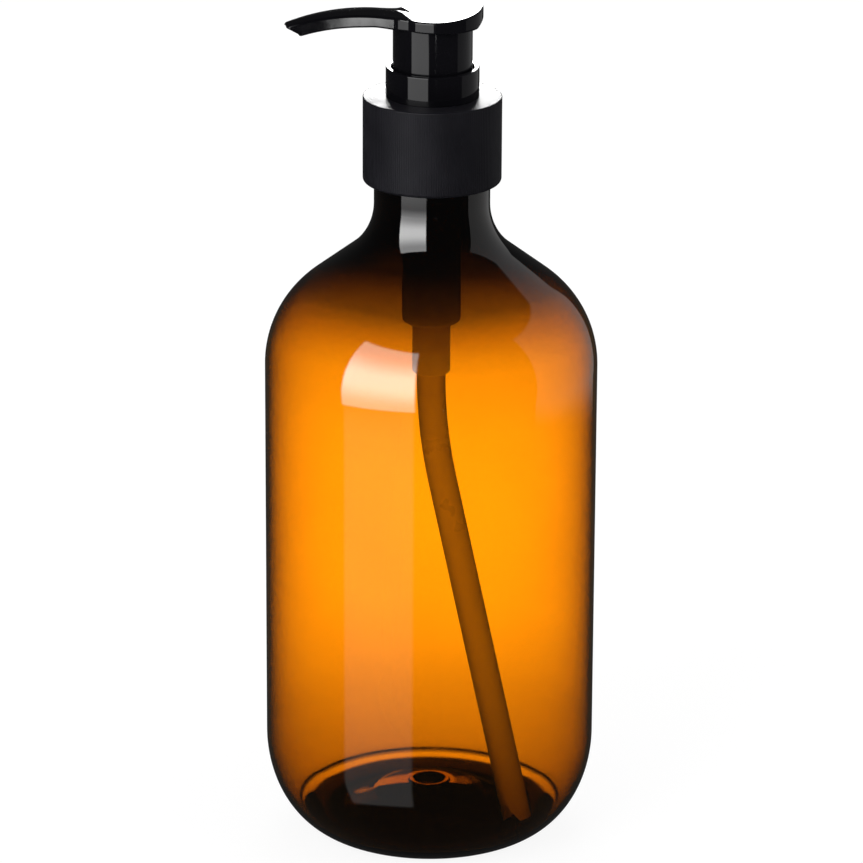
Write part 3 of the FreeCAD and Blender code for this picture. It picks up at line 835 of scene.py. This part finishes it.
        def thread_rise(radius: float, angle: float, height: float) -> float:
            """Rise of the thread's ridge, on its land only."""
            on_land = radius >= edge and self.land_bottom < height < self.height - self.rim_round
            return self.thread.rise(angle, height) if on_land else 0.0

        swell(piece, thread_rise)
        # Each vertex keeps the wall's painted shade and light
        shares = piece.data.attributes.new(self.finish.attribute, "FLOAT", "POINT")
        for vertex, entry in zip(piece.data.vertices, shares.data):
            entry.value = self.painted_clearness(vertex.co / MM)
        smooth(piece)
        return piece

    def dress(self) -> None:
        """Builds the bottle and puts it in the CAD bottle's place."""
        place_piece(self.build(), "bottle", Slot.AMBER, self.finish.make(), "bottle")


@dataclass(frozen=True)
class ScrewCollar:
    """Collar with fine upright ribs outside and a thread inside."""

    bore_radius: float = 13.9
    radius: float = 15.5
    bottom: float = 153.8
    top: float = 173.3
    top_wall: float = 1.5
    hole_radius: float = 10.16
    foot_round: float = 0.8
    edge_round: float = 0.3
    ribs: int = 180
    rib_depth: float = 0.07
    faces_per_rib: int = 4
    bore_rows: int = 60
    thread: ThreadRidge = ThreadRidge(157.2, turns=1.4, depth=1.0, foot_width=2.3, crest_width=0.8)
    finish: MouldedPlastic = MouldedPlastic(
        "matte_black_skin", (0.0085, 0.0083, 0.0108), (0.0115, 0.0112, 0.0142), (0.36, 0.46),
        patch_size=9.0, grain_size=0.16, grain_depth=0.04, gloss=0.14,
    )

    def build(self) -> Piece:
        """Builds the collar.

        Returns:
            The collar.
        """
        ceiling = self.top - self.top_wall
        corners = rounded([
            (self.radius, self.bottom, self.foot_round),
            (self.radius, self.top, self.edge_round),
            (self.hole_radius, self.top),
            (self.hole_radius, ceiling),
            (self.bore_radius, ceiling),
            (self.bore_radius, self.bottom),
        ])
        bore = upright(self.bore_radius, ceiling, self.bottom, self.bore_rows)
        outline = merged(corners[:-2], bore)
        piece = turned("ribbed_collar", outline, self.ribs * self.faces_per_rib, closed=True)
        low = self.bottom + self.foot_round - self.edge_round
        high = self.top - self.edge_round

        def ribs_and_thread(radius: float, angle: float, height: float) -> float:
            """Cuts the ribs' valleys outside and raises the thread inside.

            Args:
                radius: Distance from the axis.
                angle: Angle about it in degrees.
                height: Height over the floor.

            Returns:
                The move outwards, which is inwards below 0.
            """
            if radius > self.radius - self.rib_depth and low <= height <= high:
                valley = 0.5 - 0.5 * math.cos(math.radians(angle * self.ribs))
                return -self.rib_depth * valley
            if abs(radius - self.bore_radius) < self.rib_depth and height < ceiling - self.rib_depth:
                return -self.thread.rise(angle, height)
            return 0.0

        swell(piece, ribs_and_thread)
        smooth(piece)
        return piece

    def dress(self) -> None:
        """Builds the collar and puts it in the CAD collar's place."""
        place_piece(self.build(), "collar", Slot.MATTE_BLACK, self.finish.make(), "screw_collar")


class PlanPatch:
    """Grid of places spread over a plan that mirrors about the X axis."""

    end_share = 0.085
    tangent_share = 1e-4

    def __init__(self, line: list[Point], along: int, across: int, rim: float) -> None:
        """Measures the outline.

        Args:
            line: One half of the plan's outline, from its left end round to its right end.
            along: Number of cells along X.
            across: Number of cells across.
            rim: Width in millimetres of the rounded rim, which lies outside the grid.
        """
        self.line = [Vector(point) for point in line]
        self.lengths = [0.0]
        for before, after in zip(self.line, self.line[1:]):
            self.lengths.append(self.lengths[-1] + (after - before).length)
        self.along, self.across, self.rim = along, across, rim

    def at(self, length: float) -> Vector:
        """Place on the outline.

        Args:
            length: Length along the outline from its left end.

        Returns:
            The place.
        """
        index = 1
        while index < len(self.line) - 1 and self.lengths[index] < length:
            index += 1
        start, end = self.lengths[index - 1], self.lengths[index]
        return self.line[index - 1].lerp(self.line[index], (length - start) / (end - start))

    def edge(self, column: int, row: int, inset: float) -> Vector:
        """Place on the outline that belongs to a cell corner at the grid's border.

        Args:
            column: Number of the corner along X.
            row: Number of the corner across.
            inset: Distance inwards from the outline.

        Returns:
            The place.
        """
        total = self.lengths[-1]
        start, end = total * self.end_share, total * (1 - 2 * self.end_share)
        side = 2 * row / self.across - 1
        if column == 0:
            length = start * abs(side)
        elif column == self.along:
            length = total - (total - end) * abs(side)
        else:
            length = start + (end - start) * column / self.along
        step = total * self.tangent_share
        ahead, behind = self.at(min(length + step, total)), self.at(max(length - step, 0.0))
        tangent = (ahead - behind).normalized()
        place = self.at(length) + Vector((tangent.y, -tangent.x)) * inset
        return Vector((place.x, math.copysign(place.y, side)))

    def place(self, column: int, row: int, inset: float) -> Vector:
        """Place of a cell corner, on a rim ring where it lies at the grid's border.

        Args:
            column: Number of the corner along X.
            row: Number of the corner across.
            inset: Distance inwards from the outline, for a corner at the border.

        Returns:
            The place.
        """
        if column in (0, self.along) or row in (0, self.across):
            return self.edge(column, row, inset)
        u, v = column / self.along, row / self.across
        sides = self.edge(column, 0, self.rim) * (1 - v) + self.edge(column, self.across, self.rim) * v
        ends = self.edge(0, row, self.rim) * (1 - u) + self.edge(self.along, row, self.rim) * u
        low = self.edge(0, 0, self.rim) * (1 - u) + self.edge(self.along, 0, self.rim) * u
        high = self.edge(0, self.across, self.rim) * (1 - u) + self.edge(self.along, self.across, self.rim) * u
        return sides + ends - low * (1 - v) - high * v


@dataclass(frozen=True)
class PumpHead:
    """Pump head: dished pad, crowned beak spout, skirt, stem socket and oil channel."""

    underside: float = 189.5
    trough: Point = (-3.0, 192.15)
    crest: Point = (-18.0, 193.17)
    pad_tip: Point = (11.2, 193.75)
    pad_rim: float = 2.65
    pad_centre: float = 1.3
    pad_radius: float = 9.9
    tip: Point = (-33.0, 190.79)
    foot: Point = (-30.3, 188.5)
    arch: Point = (-17.5, 190.37)
    bend: float = -14.0
    root_half_width: float = 5.8
    tip_half_width: float = 2.2
    corner_round: float = 0.8
    root_fillet: float = 5.0
    under_drop: Point = (-14.5, -7.35)
    crown: float = 0.40
    crown_end: Point = (-8.5, -3.5)
    root_crown: float = 0.23
    root_rise: Point = (-17.0, -11.0)
    ridge_round: float = 0.04
    ridge_slack: float = 0.01
    ridge_lift: float = 1.5
    edge_round: float = 0.45
    skirt_radius: float = 8.85
    skirt_wall: float = 1.2
    skirt_bottom: float = 177.0
    socket_radius: float = 3.52
    socket_wall: float = 1.3
    socket_bottom: float = 179.0
    port_radius: float = 1.8
    channel_half_width: float = 1.3
    channel_height: float = 0.95
    channel_top: float = 191.75
    channel_bend: float = -22.0
    channel_fall: float = 1.6
    overlap: float = 0.2
    overcut: float = 1.0
    corner_steps: int = 12
    fillet_rounds: int = 6
    along: int = 84
    across: int = 28
    rim_rows: int = 4
    steps: int = 160
    face_weight: int = 100

    def top_at(self, x: float) -> float:
        """Height of the side view's top line.

        Args:
            x: Place along the spout.

        Returns:
            The height in millimetres.
        """
        dish = level_arc(self.trough, self.pad_tip)
        whole = level_arc(self.trough, self.crest)
        change = self.trough[0] + (self.crest[0] - self.trough[0]) * dish / whole
        if x >= change:
            return self.trough[1] + dish - math.sqrt(dish ** 2 - (x - self.trough[0]) ** 2)
        radius = whole - dish if x >= self.crest[0] else level_arc(self.crest, self.tip)
        return self.crest[1] - radius + math.sqrt(radius ** 2 - (x - self.crest[0]) ** 2)

    def under_at(self, x: float) -> float:
        """Height of the side view's bottom line.

        Args:
            x: Place along the spout.

        Returns:
            The height in millimetres.
        """
        if x > self.skirt_radius:
            share = (x - self.skirt_radius) / (self.pad_tip[0] - self.skirt_radius)
            return self.underside + share * (self.pad_tip[1] - self.pad_rim - self.underside)
        if x >= self.arch[0]:
            lift = fade(*self.under_drop, x)
            return self.underside + lift * (self.arch[1] - self.underside)
        radius = level_arc(self.arch, self.foot)
        return self.arch[1] - radius + math.sqrt(radius ** 2 - (x - self.arch[0]) ** 2)

    def spout_half_width(self, x: float) -> float:
        """Half the spout's width before its corners are rounded."""
        share = (x - self.tip[0]) / -self.tip[0]
        return self.tip_half_width + (self.root_half_width - self.tip_half_width) * share

    def half_plan(self) -> list[Point]:
        """Draws one half of the plan's outline.

        Returns:
            Its points, from the middle of the spout's tip to the pad's end.
        """
        line = [(self.tip[0], 0.0)]
        for number in range(self.corner_steps + 1):
            angle = math.radians(90 * number / self.corner_steps)
            x = self.tip[0] + self.corner_round * (1 - math.cos(angle))
            line.append((x, self.spout_half_width(x) - self.corner_round * (1 - math.sin(angle))))
        taper = math.atan((self.root_half_width - self.tip_half_width) / -self.tip[0])
        reach = self.pad_radius + self.root_fillet
        fillet_x = self.bend
        for _ in range(self.fillet_rounds):
            fillet_y = self.spout_half_width(fillet_x) + self.root_fillet / math.cos(taper)
            fillet_x = self.pad_centre - math.sqrt(reach ** 2 - fillet_y ** 2)
        lean = math.degrees(math.asin((self.pad_centre - fillet_x) / reach))
        line += arc((fillet_x, fillet_y), self.root_fillet, math.degrees(taper) - 90, lean - 90, count=16)
        line += arc((self.pad_centre, 0.0), self.pad_radius, 90 + lean, 0, count=96)
        return merged(line)

    def top_over(self, x: float, y: float) -> float:
        """Height of the top at one place of the plan: dished pad, crowned spout.

        Args:
            x: Place along the spout.
            y: Place across it.

        Returns:
            The height in millimetres.
        """
        arched = (self.crown + self.root_crown * blend(*self.root_rise, x)) * fade(*self.crown_end, x)
        off = math.hypot(y / self.spout_half_width(x), self.ridge_round) - self.ridge_round
        return self.top_at(x) + arched * (1 - off / (math.hypot(1.0, self.ridge_round) - self.ridge_round))

    def blank(self) -> Piece:
        """Makes the grid that becomes the pad and spout.

        Returns:
            A flat grid of unit size, extruded down by 1, with rows for both rims in its side.
        """
        clear_selection()
        bpy.ops.mesh.primitive_grid_add(x_subdivisions=self.along, y_subdivisions=self.across, size=1.0)
        piece = bpy.context.object
        piece.name = piece.data.name = "pump_head"
        with editing(Element.EDGE):
            bpy.ops.mesh.select_all(action="SELECT")
            bpy.ops.mesh.extrude_region_move(TRANSFORM_OT_translate={"value": (0, 0, -1.0)})
            bpy.ops.mesh.select_all(action="DESELECT")
        for edge in piece.data.edges:
            start, end = (piece.data.vertices[index].co for index in edge.vertices)
            edge.select = abs(start.z - end.z) > 0.5
        with editing(Element.EDGE):
            bpy.ops.mesh.subdivide(number_cuts=2 * self.rim_rows + 1)
        return piece

    def plate(self) -> Piece:
        """Lays the blank over the plan, with both rims rounded and the ridge sharp.

        Returns:
            The pad and spout.
        """
        piece = self.blank()
        patch = PlanPatch(self.half_plan(), self.along, self.across, self.edge_round)
        squeeze = (self.bend - self.foot[0]) / (self.bend - self.tip[0])
        levels = 2 * self.rim_rows + 2
        for vertex in piece.data.vertices:
            column = round((vertex.co.x + 0.5) * self.along)
            row = round((vertex.co.y + 0.5) * self.across)
            level = round(-vertex.co.z * levels)
            turn = min(math.radians(90 * min(level, levels - level) / self.rim_rows), math.pi / 2)
            lift = self.edge_round * (1 - math.cos(turn))
            x, y = patch.place(column, row, self.edge_round * (1 - math.sin(turn)))
            high = Vector((x, y, self.top_over(x, y) - lift)) * MM
            back = self.bend - (self.bend - x) * squeeze if x < self.bend else x
            inward = self.spout_half_width(back) / self.spout_half_width(x)
            low = Vector((back, y * inward, self.under_at(back) + lift)) * MM
            if level == self.rim_rows + 1:
                vertex.co = (high + low) / 2
            else:
                vertex.co = low if level > self.rim_rows else high
        for edge in piece.data.edges:
            ends = [piece.data.vertices[index].co / MM for index in edge.vertices]
            edge.select = all(
                abs(end.y) < self.ridge_slack and end.z > self.under_at(end.x) + self.ridge_lift for end in ends
            )
        pick(piece)
        with editing(Element.EDGE):
            bpy.ops.mesh.mark_sharp()
            close_mesh()
        return piece

    def build(self) -> Piece:
        """Builds the whole head.

        Returns:
            The head.
        """
        piece = self.plate()
        inner = self.skirt_radius - self.skirt_wall
        socket = self.socket_radius + self.socket_wall
        web = self.pad_tip[1] - self.pad_rim
        bell = turned("bell", rounded([
            (self.socket_radius, self.socket_bottom),
            (socket, self.socket_bottom),
            (socket, self.underside + self.overlap),
            (inner, self.underside + self.overlap),
            (inner, self.skirt_bottom),
            (self.skirt_radius, self.skirt_bottom, self.edge_round),
            (self.skirt_radius, web),
            (self.socket_radius, web),
        ]), self.steps, closed=True)
        boolean(piece, bell, Cut.JOIN)
        middle = turned("middle", rounded([
            (0.0, self.underside - self.overcut), (self.port_radius, self.underside - self.overcut),
            (self.port_radius, self.channel_top), (0.0, self.channel_top),
        ]), self.steps // 4, closed=False)
        boolean(piece, middle, Cut.REMOVE)
        boolean(piece, self.channel(), Cut.REMOVE)
        smooth(piece)
        even = piece.modifiers.new("even_normals", "WEIGHTED_NORMAL")
        even.weight = self.face_weight
        even.keep_sharp = True
        pick(piece)
        bpy.ops.object.modifier_apply(modifier=even.name)
        return piece

    def channel(self) -> Piece:
        """Makes the oil channel as a bent bar.

        Returns:
            The bar, for cutting.
        """
        clear_selection()
        bpy.ops.mesh.primitive_cube_add(size=1.0)
        bar = bpy.context.object
        low = self.channel_top - self.channel_height
        for vertex in bar.data.vertices:
            x = self.port_radius if vertex.co.x > 0 else self.channel_bend
            z = self.channel_top if vertex.co.z > 0 else low
            y = self.channel_half_width if vertex.co.y > 0 else -self.channel_half_width
            vertex.co = Vector((x, y, z)) * MM
        for face in bar.data.polygons:
            face.select = face.normal.x < -0.5
        reach = self.tip[0] - self.channel_bend - self.overcut
        fall = self.channel_fall * reach / (self.channel_bend - self.tip[0])
        with editing(Element.FACE):
            bpy.ops.mesh.extrude_region_move(TRANSFORM_OT_translate={"value": (reach * MM, 0, fall * MM)})
            close_mesh()
        return bar

    def dress(self, black: bpy.types.Material) -> None:
        """Builds the head and puts it in the CAD head's place."""
        place_piece(self.build(), "head", Slot.GLOSS_BLACK, black, "actuator_head")


@dataclass(frozen=True)
class ReturnSpring:
    """Coil spring of round wire with a closer turn at each end."""

    bottom: float = 124.55
    length: float = 24.6
    wire: float = 0.9
    mean_radius: float = 4.1
    turns: int = 8
    end_pitch: float = 1.4
    stroke: float = 9.0
    points_per_turn: int = 16
    finish: BrightSteel = BrightSteel(
        "drawn_wire", (0.62, 0.62, 0.63), (0.42, 0.42, 0.44), (0.16, 0.34), streak_size=0.5,
    )

    def height_at(self, turn: float) -> float:
        """Height of the wire's centre.

        Args:
            turn: Turns from the lower end.

        Returns:
            The height in millimetres.
        """
        open_rise = self.length - self.wire - 2 * self.end_pitch
        rise = self.end_pitch * min(turn, 1)
        rise += open_rise / (self.turns - 2) * min(max(turn - 1, 0), self.turns - 2)
        rise += self.end_pitch * max(turn - self.turns + 1, 0)
        return self.bottom + self.wire / 2 + rise

    def build(self) -> Piece:
        """Winds the coil.

        Returns:
            The coil as a mesh.
        """
        clear_selection()
        bpy.ops.curve.primitive_nurbs_path_add()
        coil = bpy.context.object
        coil.name = coil.data.name = "coil_spring"
        line = coil.data.splines[0]
        count = self.turns * self.points_per_turn + 1
        line.points.add(count - len(line.points))
        for number, point in enumerate(line.points):
            turn = number / self.points_per_turn
            angle = math.tau * turn
            place = Vector((
                self.mean_radius * math.cos(angle), self.mean_radius * math.sin(angle), self.height_at(turn),
            )) * MM
            point.co = (*place, 1.0)
        line.order_u = 4
        line.use_endpoint_u = True
        line.resolution_u = 2
        coil.data.bevel_depth = self.wire / 2 * MM
        coil.data.bevel_resolution = 4
        coil.data.use_fill_caps = True
        bpy.ops.object.convert(target="MESH")
        with editing(Element.FACE):
            close_mesh()
        smooth(coil)
        return coil

    def dress(self) -> None:
        """Builds the coil, puts it in the CAD spring's place and gives it a mesh of its own."""
        coil = self.build()
        place_piece(coil, "pump_body", Slot.SPRING_STEEL, self.finish.make(), "return_spring")
        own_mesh(coil)


@dataclass(frozen=True)
class CarriedNodes:
    """Pieces whose CAD shape is kept and only dressed."""

    natural: MouldedPlastic = MouldedPlastic(
        "cloudy_natural_plastic", (0.74, 0.70, 0.60), (0.82, 0.79, 0.71), (0.28, 0.42),
        patch_size=6.0, grain_size=0.5, grain_depth=0.02,
    )
    tube: CloudyTube = CloudyTube()
    soft: MouldedPlastic = MouldedPlastic(
        "soft_white_skin", (0.80, 0.80, 0.77), (0.87, 0.87, 0.84), (0.38, 0.52),
        patch_size=4.0, grain_size=0.3, grain_depth=0.02,
    )
    ball: BrightSteel = BrightSteel(
        "polished_ball", (0.68, 0.68, 0.69), (0.52, 0.52, 0.54), (0.06, 0.16), streak_size=0.8,
    )

    def dress(self, black: bpy.types.Material) -> None:
        """Gives each carried node its finish.

        Args:
            black: Gloss black of the head, shared by the chaplet.
        """
        natural, tube = self.natural.make(), self.tube.make()
        soft, ball = self.soft.make(), self.ball.make()
        finishes = {
            "chaplet": black,
            "pump_housing": natural,
            "piston_rod": natural,
            "stem": natural,
            "dip_tube": tube,
            "neck_gasket": soft,
            "piston": soft,
            "inlet_ball": ball,
            "outlet_ball": ball,
        }
        for node, material in finishes.items():
            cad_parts[node].material_slots[0].material = material
            log.info("%s: CAD shape kept, dressed in %s", node, material.name)


@dataclass(frozen=True)
class SoftBox:
    """Lit panel of the studio as glossy surfaces show it.

    Azimuth is counted from the camera's side towards its right, elevation from the horizon, both in degrees. Edge and
    rise are half the widths of the soft borders beside the panel, and above and below it.
    """

    azimuth: Point
    elevation: Point
    strength: float
    edge: float
    rise: float
    both_sides: bool = False


@dataclass(frozen=True)
class Lamp:
    """Square lamp aimed at the bottle: place and side in metres, power in watts."""

    name: str
    place: tuple[float, float, float]
    size: float
    power: float
    target: tuple[float, float, float] = (0.0, 0.0, 0.1)

    def build(self) -> None:
        """Adds the lamp, which lights the bottle but doesn't show in it."""
        data = bpy.data.lights.new(self.name, "AREA")
        data.size = self.size
        data.energy = self.power
        lamp = bpy.data.objects.new(self.name, data)
        bpy.context.scene.collection.objects.link(lamp)
        lamp.location = self.place
        lamp.rotation_euler = (Vector(self.target) - lamp.location).to_track_quat("-Z", "Y").to_euler()
        lamp.visible_camera = False
        lamp.visible_glossy = False
        lamp.visible_transmission = False


@dataclass(frozen=True)
class Studio:
    """Camera, white floor, soft lamps and the panels that show in the gloss.

    The floor's side is in metres. Behind and above are the strengths of the white that is seen through the wall, at the
    horizon and higher up, and gloss is what reflections show between the panels.
    """

    camera_azimuth: float = -11.0
    camera_distance: float = 1126.57
    camera_height: float = 477.89
    camera_pitch: float = 18.793
    camera_roll: float = 0.2865
    camera_yaw: float = -0.0076
    focal_pixels: float = 5251.4
    sensor: float = 36.0
    floor_size: float = 12.0
    floor_gap: float = 0.1
    floor_glow: float = 0.9
    pale: float = 0.8
    shadow: float = 0.16
    ambient: float = 0.45
    behind: float = 1.9
    above: float = 0.05
    above_height: float = 0.2
    gloss: float = 0.03
    lamps: tuple[Lamp, ...] = (
        Lamp("key_left", (-1.1, -1.0, 1.1), size=0.9, power=9.0),
        Lamp("fill_right", (1.2, -0.8, 0.8), size=0.9, power=4.0),
        Lamp("rim_back", (0.3, 1.3, 1.2), size=0.8, power=6.0),
    )
    panels: tuple[SoftBox, ...] = (
        SoftBox((-63.0, -11.0), (-16.0, 45.0), strength=4.2, edge=1.2, rise=1.2),
        SoftBox((-63.0, -11.0), (-3.0, 26.0), strength=6.0, edge=1.2, rise=12.0),
        SoftBox((-62.0, -12.0), (-40.0, -17.5), strength=0.43, edge=1.5, rise=1.5),
        SoftBox((77.0, 152.0), (-18.3, 40.0), strength=0.34, edge=0.5, rise=0.5),
        SoftBox((170.0, 190.0), (8.5, 20.0), strength=30.0, edge=1.0, rise=1.0, both_sides=True),
        SoftBox((8.45, 9.5), (-14.5, -14.15), strength=16.0, edge=0.06, rise=0.06),
    )

    def make_camera(self) -> None:
        """Puts the camera at the photograph's viewing angle."""
        turn = math.radians(self.camera_azimuth)
        data = bpy.data.cameras.new("photo_camera")
        data.sensor_width = self.sensor
        data.lens = self.focal_pixels / PHOTO_WIDTH * self.sensor
        camera = bpy.data.objects.new("photo_camera", data)
        bpy.context.scene.collection.objects.link(camera)
        camera.location = Vector((
            self.camera_distance * math.sin(turn), -self.camera_distance * math.cos(turn), self.camera_height,
        )) * MM
        heading = Matrix.Rotation(turn + math.radians(self.camera_yaw), 3, "Z")
        pitch = Matrix.Rotation(math.radians(90 - self.camera_pitch), 3, "X")
        roll = Matrix.Rotation(math.radians(self.camera_roll), 3, "Z")
        camera.rotation_euler = (heading @ pitch @ roll).to_euler()
        bpy.context.scene.camera = camera

    def make_floor(self) -> None:
        """Lays the floor: white where the camera or a ray through the wall meets it, pale for other light."""
        clear_selection()
        bpy.ops.mesh.primitive_plane_add(size=self.floor_size, location=(0, 0, -self.floor_gap * MM))
        floor = bpy.context.object
        floor.name = "studio_floor"
        data = bpy.data.materials.new("white_floor")
        data.use_nodes = True
        bench = NodeBench(data.node_tree)
        path = bench.add("LightPath").outputs
        through = bench.math("MULTIPLY", bench.straight_through(), self.behind)
        glow = bench.math("MAXIMUM", bench.math("MULTIPLY", path["Is Camera Ray"], self.floor_glow), through)
        seen = bench.math("MAXIMUM", path["Is Camera Ray"], path["Is Transmission Ray"])
        pale, shadow = (
            bench.add("BsdfDiffuse", {"Color": (shade, shade, shade, 1.0)}).outputs[0]
            for shade in (self.pale, self.shadow)
        )
        light = bench.add("Emission", {"Strength": glow}).outputs[0]
        white = bench.add("AddShader", {0: shadow, 1: light}).outputs[0]
        mixed = bench.add("MixShader", {0: seen, 1: pale, 2: white}).outputs[0]
        data.node_tree.links.new(mixed, data.node_tree.nodes["Material Output"].inputs["Surface"])
        floor.data.materials.append(data)
        floor.visible_glossy = False
        floor.visible_shadow = False

    def panel_strength(self, bench: NodeBench) -> Socket:
        """Adds the nodes that give the panels' strength in each direction.

        Args:
            bench: Bench of the world's tree.

        Returns:
            Socket with the summed strength.
        """
        turn = math.radians(self.camera_azimuth)
        direction = bench.add("TexCoord").outputs["Generated"]
        near, right = (
            bench.add("VectorMath", {0: direction, 1: axis}, operation="DOT_PRODUCT").outputs["Value"]
            for axis in ((math.sin(turn), -math.cos(turn), 0.0), (math.cos(turn), math.sin(turn), 0.0))
        )
        height = bench.add("SeparateXYZ", {0: direction}).outputs["Z"]
        azimuth = bench.math("DEGREES", bench.math("ARCTAN2", right, near))
        elevation = bench.math("DEGREES", bench.math("ARCSINE", height))
        total: float | Socket = self.gloss
        for panel in self.panels:
            around = bench.math("ABSOLUTE", azimuth) if panel.both_sides else azimuth
            share: float | Socket = panel.strength
            sides = ((around, panel.azimuth, panel.edge), (elevation, panel.elevation, panel.rise))
            for value, (low, high), soft in sides:
                for edge, ends in ((low, (0.0, 1.0)), (high, (1.0, 0.0))):
                    step = bench.carry(value, (edge - soft, edge + soft), ends, interpolation_type="SMOOTHSTEP")
                    share = bench.math("MULTIPLY", share, step)
            total = bench.math("ADD", total, share)
        return total

    def make_world(self) -> None:
        """Lights the surroundings: white to the camera and through the wall, panels to gloss, plain otherwise."""
        world = bpy.data.worlds.new("studio")
        world.use_nodes = True
        bpy.context.scene.world = world
        bench = NodeBench(world.node_tree)
        path = bench.add("LightPath").outputs
        panels = bench.math("MULTIPLY", self.panel_strength(bench), path["Is Glossy Ray"])
        plain = bench.math("MULTIPLY", bench.math("SUBTRACT", 1.0, path["Is Glossy Ray"]), self.ambient)
        reflected = bench.math("ADD", panels, plain)
        white = bench.math("MAXIMUM", path["Is Camera Ray"], path["Is Transmission Ray"])
        other = bench.math("MULTIPLY", bench.math("SUBTRACT", 1.0, white), reflected)
        height = bench.add("SeparateXYZ", {0: bench.add("TexCoord").outputs["Generated"]}).outputs["Z"]
        dimming = bench.carry(height, (0.0, self.above_height), (self.behind, self.above))
        through = bench.math("MULTIPLY", bench.straight_through(), dimming)
        strength = bench.math("ADD", other, bench.math("MAXIMUM", path["Is Camera Ray"], through))
        background = world.node_tree.nodes["Background"]
        background.inputs["Color"].default_value = (1.0, 1.0, 1.0, 1.0)
        world.node_tree.links.new(strength, background.inputs["Strength"])

    def build(self) -> None:
        """Sets up the whole studio."""
        bpy.context.scene.view_settings.view_transform = "Standard"
        self.make_camera()
        self.make_floor()
        self.make_world()
        for lamp in self.lamps:
            lamp.build()
        log.info("studio: camera, floor, world and lamps")


def main() -> None:
    """Builds and dresses the sub-assemblies in order, then the studio."""
    logging.basicConfig(level=logging.INFO, format="%(name)s: %(message)s")
    black = MouldedPlastic(
        "gloss_black_skin", (0.0035, 0.0034, 0.0045), (0.0055, 0.0053, 0.0068), (0.02, 0.06),
        patch_size=12.0, grain_size=1.6, grain_depth=0.001, gloss=0.2,
    ).make()
    Bottle().dress()
    ScrewCollar().dress()
    PumpHead().dress(black)
    ReturnSpring().dress()
    CarriedNodes().dress(black)
    Studio().build()


if __name__ == "__main__":
    main()
